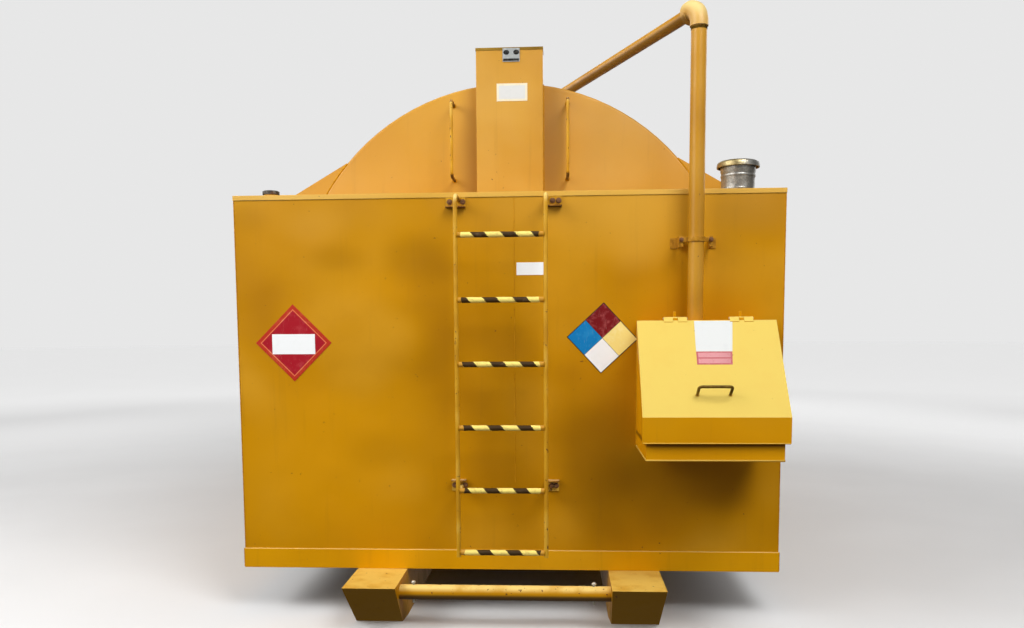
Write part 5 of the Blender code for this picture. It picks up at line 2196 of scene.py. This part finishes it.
@dataclass
class Studio:
    """Pale floor, soft lights, and the camera at the photograph's place."""

    shop: Shop
    frame_width: int = 1024
    frame_height: int = 628
    eye: Point = (0.2631, -6.8753, 1.4553)
    turn: float = math.radians(3.2699)
    down: float = math.radians(5.3807)
    roll: float = math.radians(-0.3492)
    focal_pixels: float = 859.43
    middle: Pair = (510.21, 409.78)
    sensor: float = 36.0
    floor_radius: float = 80.0
    horizon: float = 0.45
    zenith: float = 0.10
    ground: float = 0.16
    backdrop: float = 0.80
    ground_from: float = -0.03
    horizon_top: float = 0.34
    zenith_from: float = 0.62
    lamps: tuple[tuple[str, Point, Point, float, float], ...] = (
        ("overhead_light", (-1.0, -3.5, 8.0), (0.0, -0.8, 1.0), 6.0, 86.0),
        ("left_high_light", (-6.0, -5.0, 6.0), (0.0, -1.5, 1.2), 4.0, 318.0),
        ("left_near_light", (-4.0, -6.5, 3.5), (-0.5, -2.0, 1.2), 3.0, 94.0),
        ("right_high_light", (2.5, -6.5, 6.0), (0.8, -2.6, 2.0), 3.0, 278.0),
        ("front_right_light", (6.5, -9.0, 3.5), (0.3, -2.0, 1.2), 3.0, 24.0),
        ("right_side_light", (7.5, 4.5, 5.0), (0.0, 0.5, 1.2), 5.0, 150.0),
        ("left_side_light", (-7.5, 5.0, 5.0), (0.0, 0.5, 1.2), 5.0, 130.0),
        ("back_light", (3.0, 9.5, 6.5), (0.0, 1.5, 1.2), 6.0, 260.0),
    )

    def build(self) -> None:
        """Build the floor, the surround, the lamps and the camera."""
        self.build_floor()
        self.build_surround()
        for lamp in self.lamps:
            self.build_lamp(*lamp)
        self.build_camera()

    def build_floor(self) -> None:
        """A wide round floor that gives no bounce light; the surround's lower half does."""
        bm = bmesh.new()
        bmesh.ops.create_circle(bm, cap_ends=True, segments=96, radius=self.floor_radius)
        obj = smooth_object("studio_floor", bm, SHARP_DEGREES)
        obj.data.materials.append(self.shop.finish(Concrete()))
        obj.visible_diffuse = False
        obj.visible_glossy = False

    def build_surround(self) -> None:
        """A surround that lights by height, and that the camera sees as even, paler paper."""
        world = bpy.data.worlds.new("studio_surround")
        world.use_nodes = True
        tree = world.node_tree
        direction = add_node(tree, "ShaderNodeTexCoord").outputs["Generated"]
        height = add_node(tree, "ShaderNodeSeparateXYZ", {0: direction}).outputs["Z"]
        fade = (height, self.horizon_top, self.zenith_from, self.horizon, self.zenith)
        above = map_range(tree, *fade, interpolation_type="SMOOTHSTEP")
        light = map_range(tree, height, self.ground_from, 0.0, self.ground, above)
        sight = add_node(tree, "ShaderNodeLightPath").outputs["Is Camera Ray"]
        strength = map_range(tree, sight, 0.0, 1.0, light, self.backdrop)
        background = tree.nodes["Background"]
        fill(tree, background.inputs["Color"], (1.0, 1.0, 1.0))
        fill(tree, background.inputs["Strength"], strength)
        bpy.context.scene.world = world
        bpy.context.scene.view_settings.view_transform = "Standard"

    def build_lamp(self, name: str, place: Point, target: Point, size: float, power: float) -> None:
        """Add one square area light.

        Args:
            name: Name of the light.
            place: Where it hangs.
            target: Point that it faces.
            size: Side of the square.
            power: Power in watts.
        """
        data = bpy.data.lights.new(name, "AREA")
        data.size = size
        data.energy = power
        obj = new_object(name, data)
        obj.location = place
        aim = Vector(target) - Vector(place)
        obj.rotation_euler = aim.to_track_quat("-Z", "Y").to_euler()
        obj.visible_camera = False

    def build_camera(self) -> None:
        """Set the camera from the fitted eye point, angles and focal length."""
        cos_t, sin_t = math.cos(self.turn), math.sin(self.turn)
        cos_d, sin_d = math.cos(self.down), math.sin(self.down)
        ahead = Vector((-sin_t * cos_d, cos_t * cos_d, -sin_d))
        right = Vector((cos_t, sin_t, 0.0))
        up = right.cross(ahead)
        cos_r, sin_r = math.cos(self.roll), math.sin(self.roll)
        across = cos_r * right + sin_r * up
        above = -sin_r * right + cos_r * up
        data = bpy.data.cameras.new("photo_camera")
        data.sensor_width = self.sensor
        data.lens = self.focal_pixels / self.frame_width * self.sensor
        data.shift_x = (self.frame_width / 2 - self.middle[0]) / self.frame_width
        data.shift_y = (self.middle[1] - self.frame_height / 2) / self.frame_width
        camera = new_object("photo_camera", data)
        matrix = Matrix((across, above, -ahead)).transposed().to_4x4()
        matrix.translation = self.eye
        camera.matrix_world = matrix
        bpy.context.scene.camera = camera


def clear_scene() -> None:
    """Remove what a new scene holds."""
    for obj in list(bpy.data.objects):
        bpy.data.objects.remove(obj, do_unlink=True)


def main() -> None:
    """Load the frame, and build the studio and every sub-assembly."""
    logging.basicConfig(level=logging.INFO, format="%(message)s")
    clear_scene()
    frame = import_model()
    shop = Shop(frame)
    Studio(shop).build()
    welds = WeldTree(shop)
    bolts = BoltTree(shop)
    for assembly in (
        Skids,
        Box,
        Cylinder,
        GaugeHousing,
        GrabRails,
        Ladder,
        SpillBox,
        FillLine,
        DeckFittings,
        Plates,
    ):
        assembly(shop, welds, bolts).build()


if __name__ == "__main__":
    main()
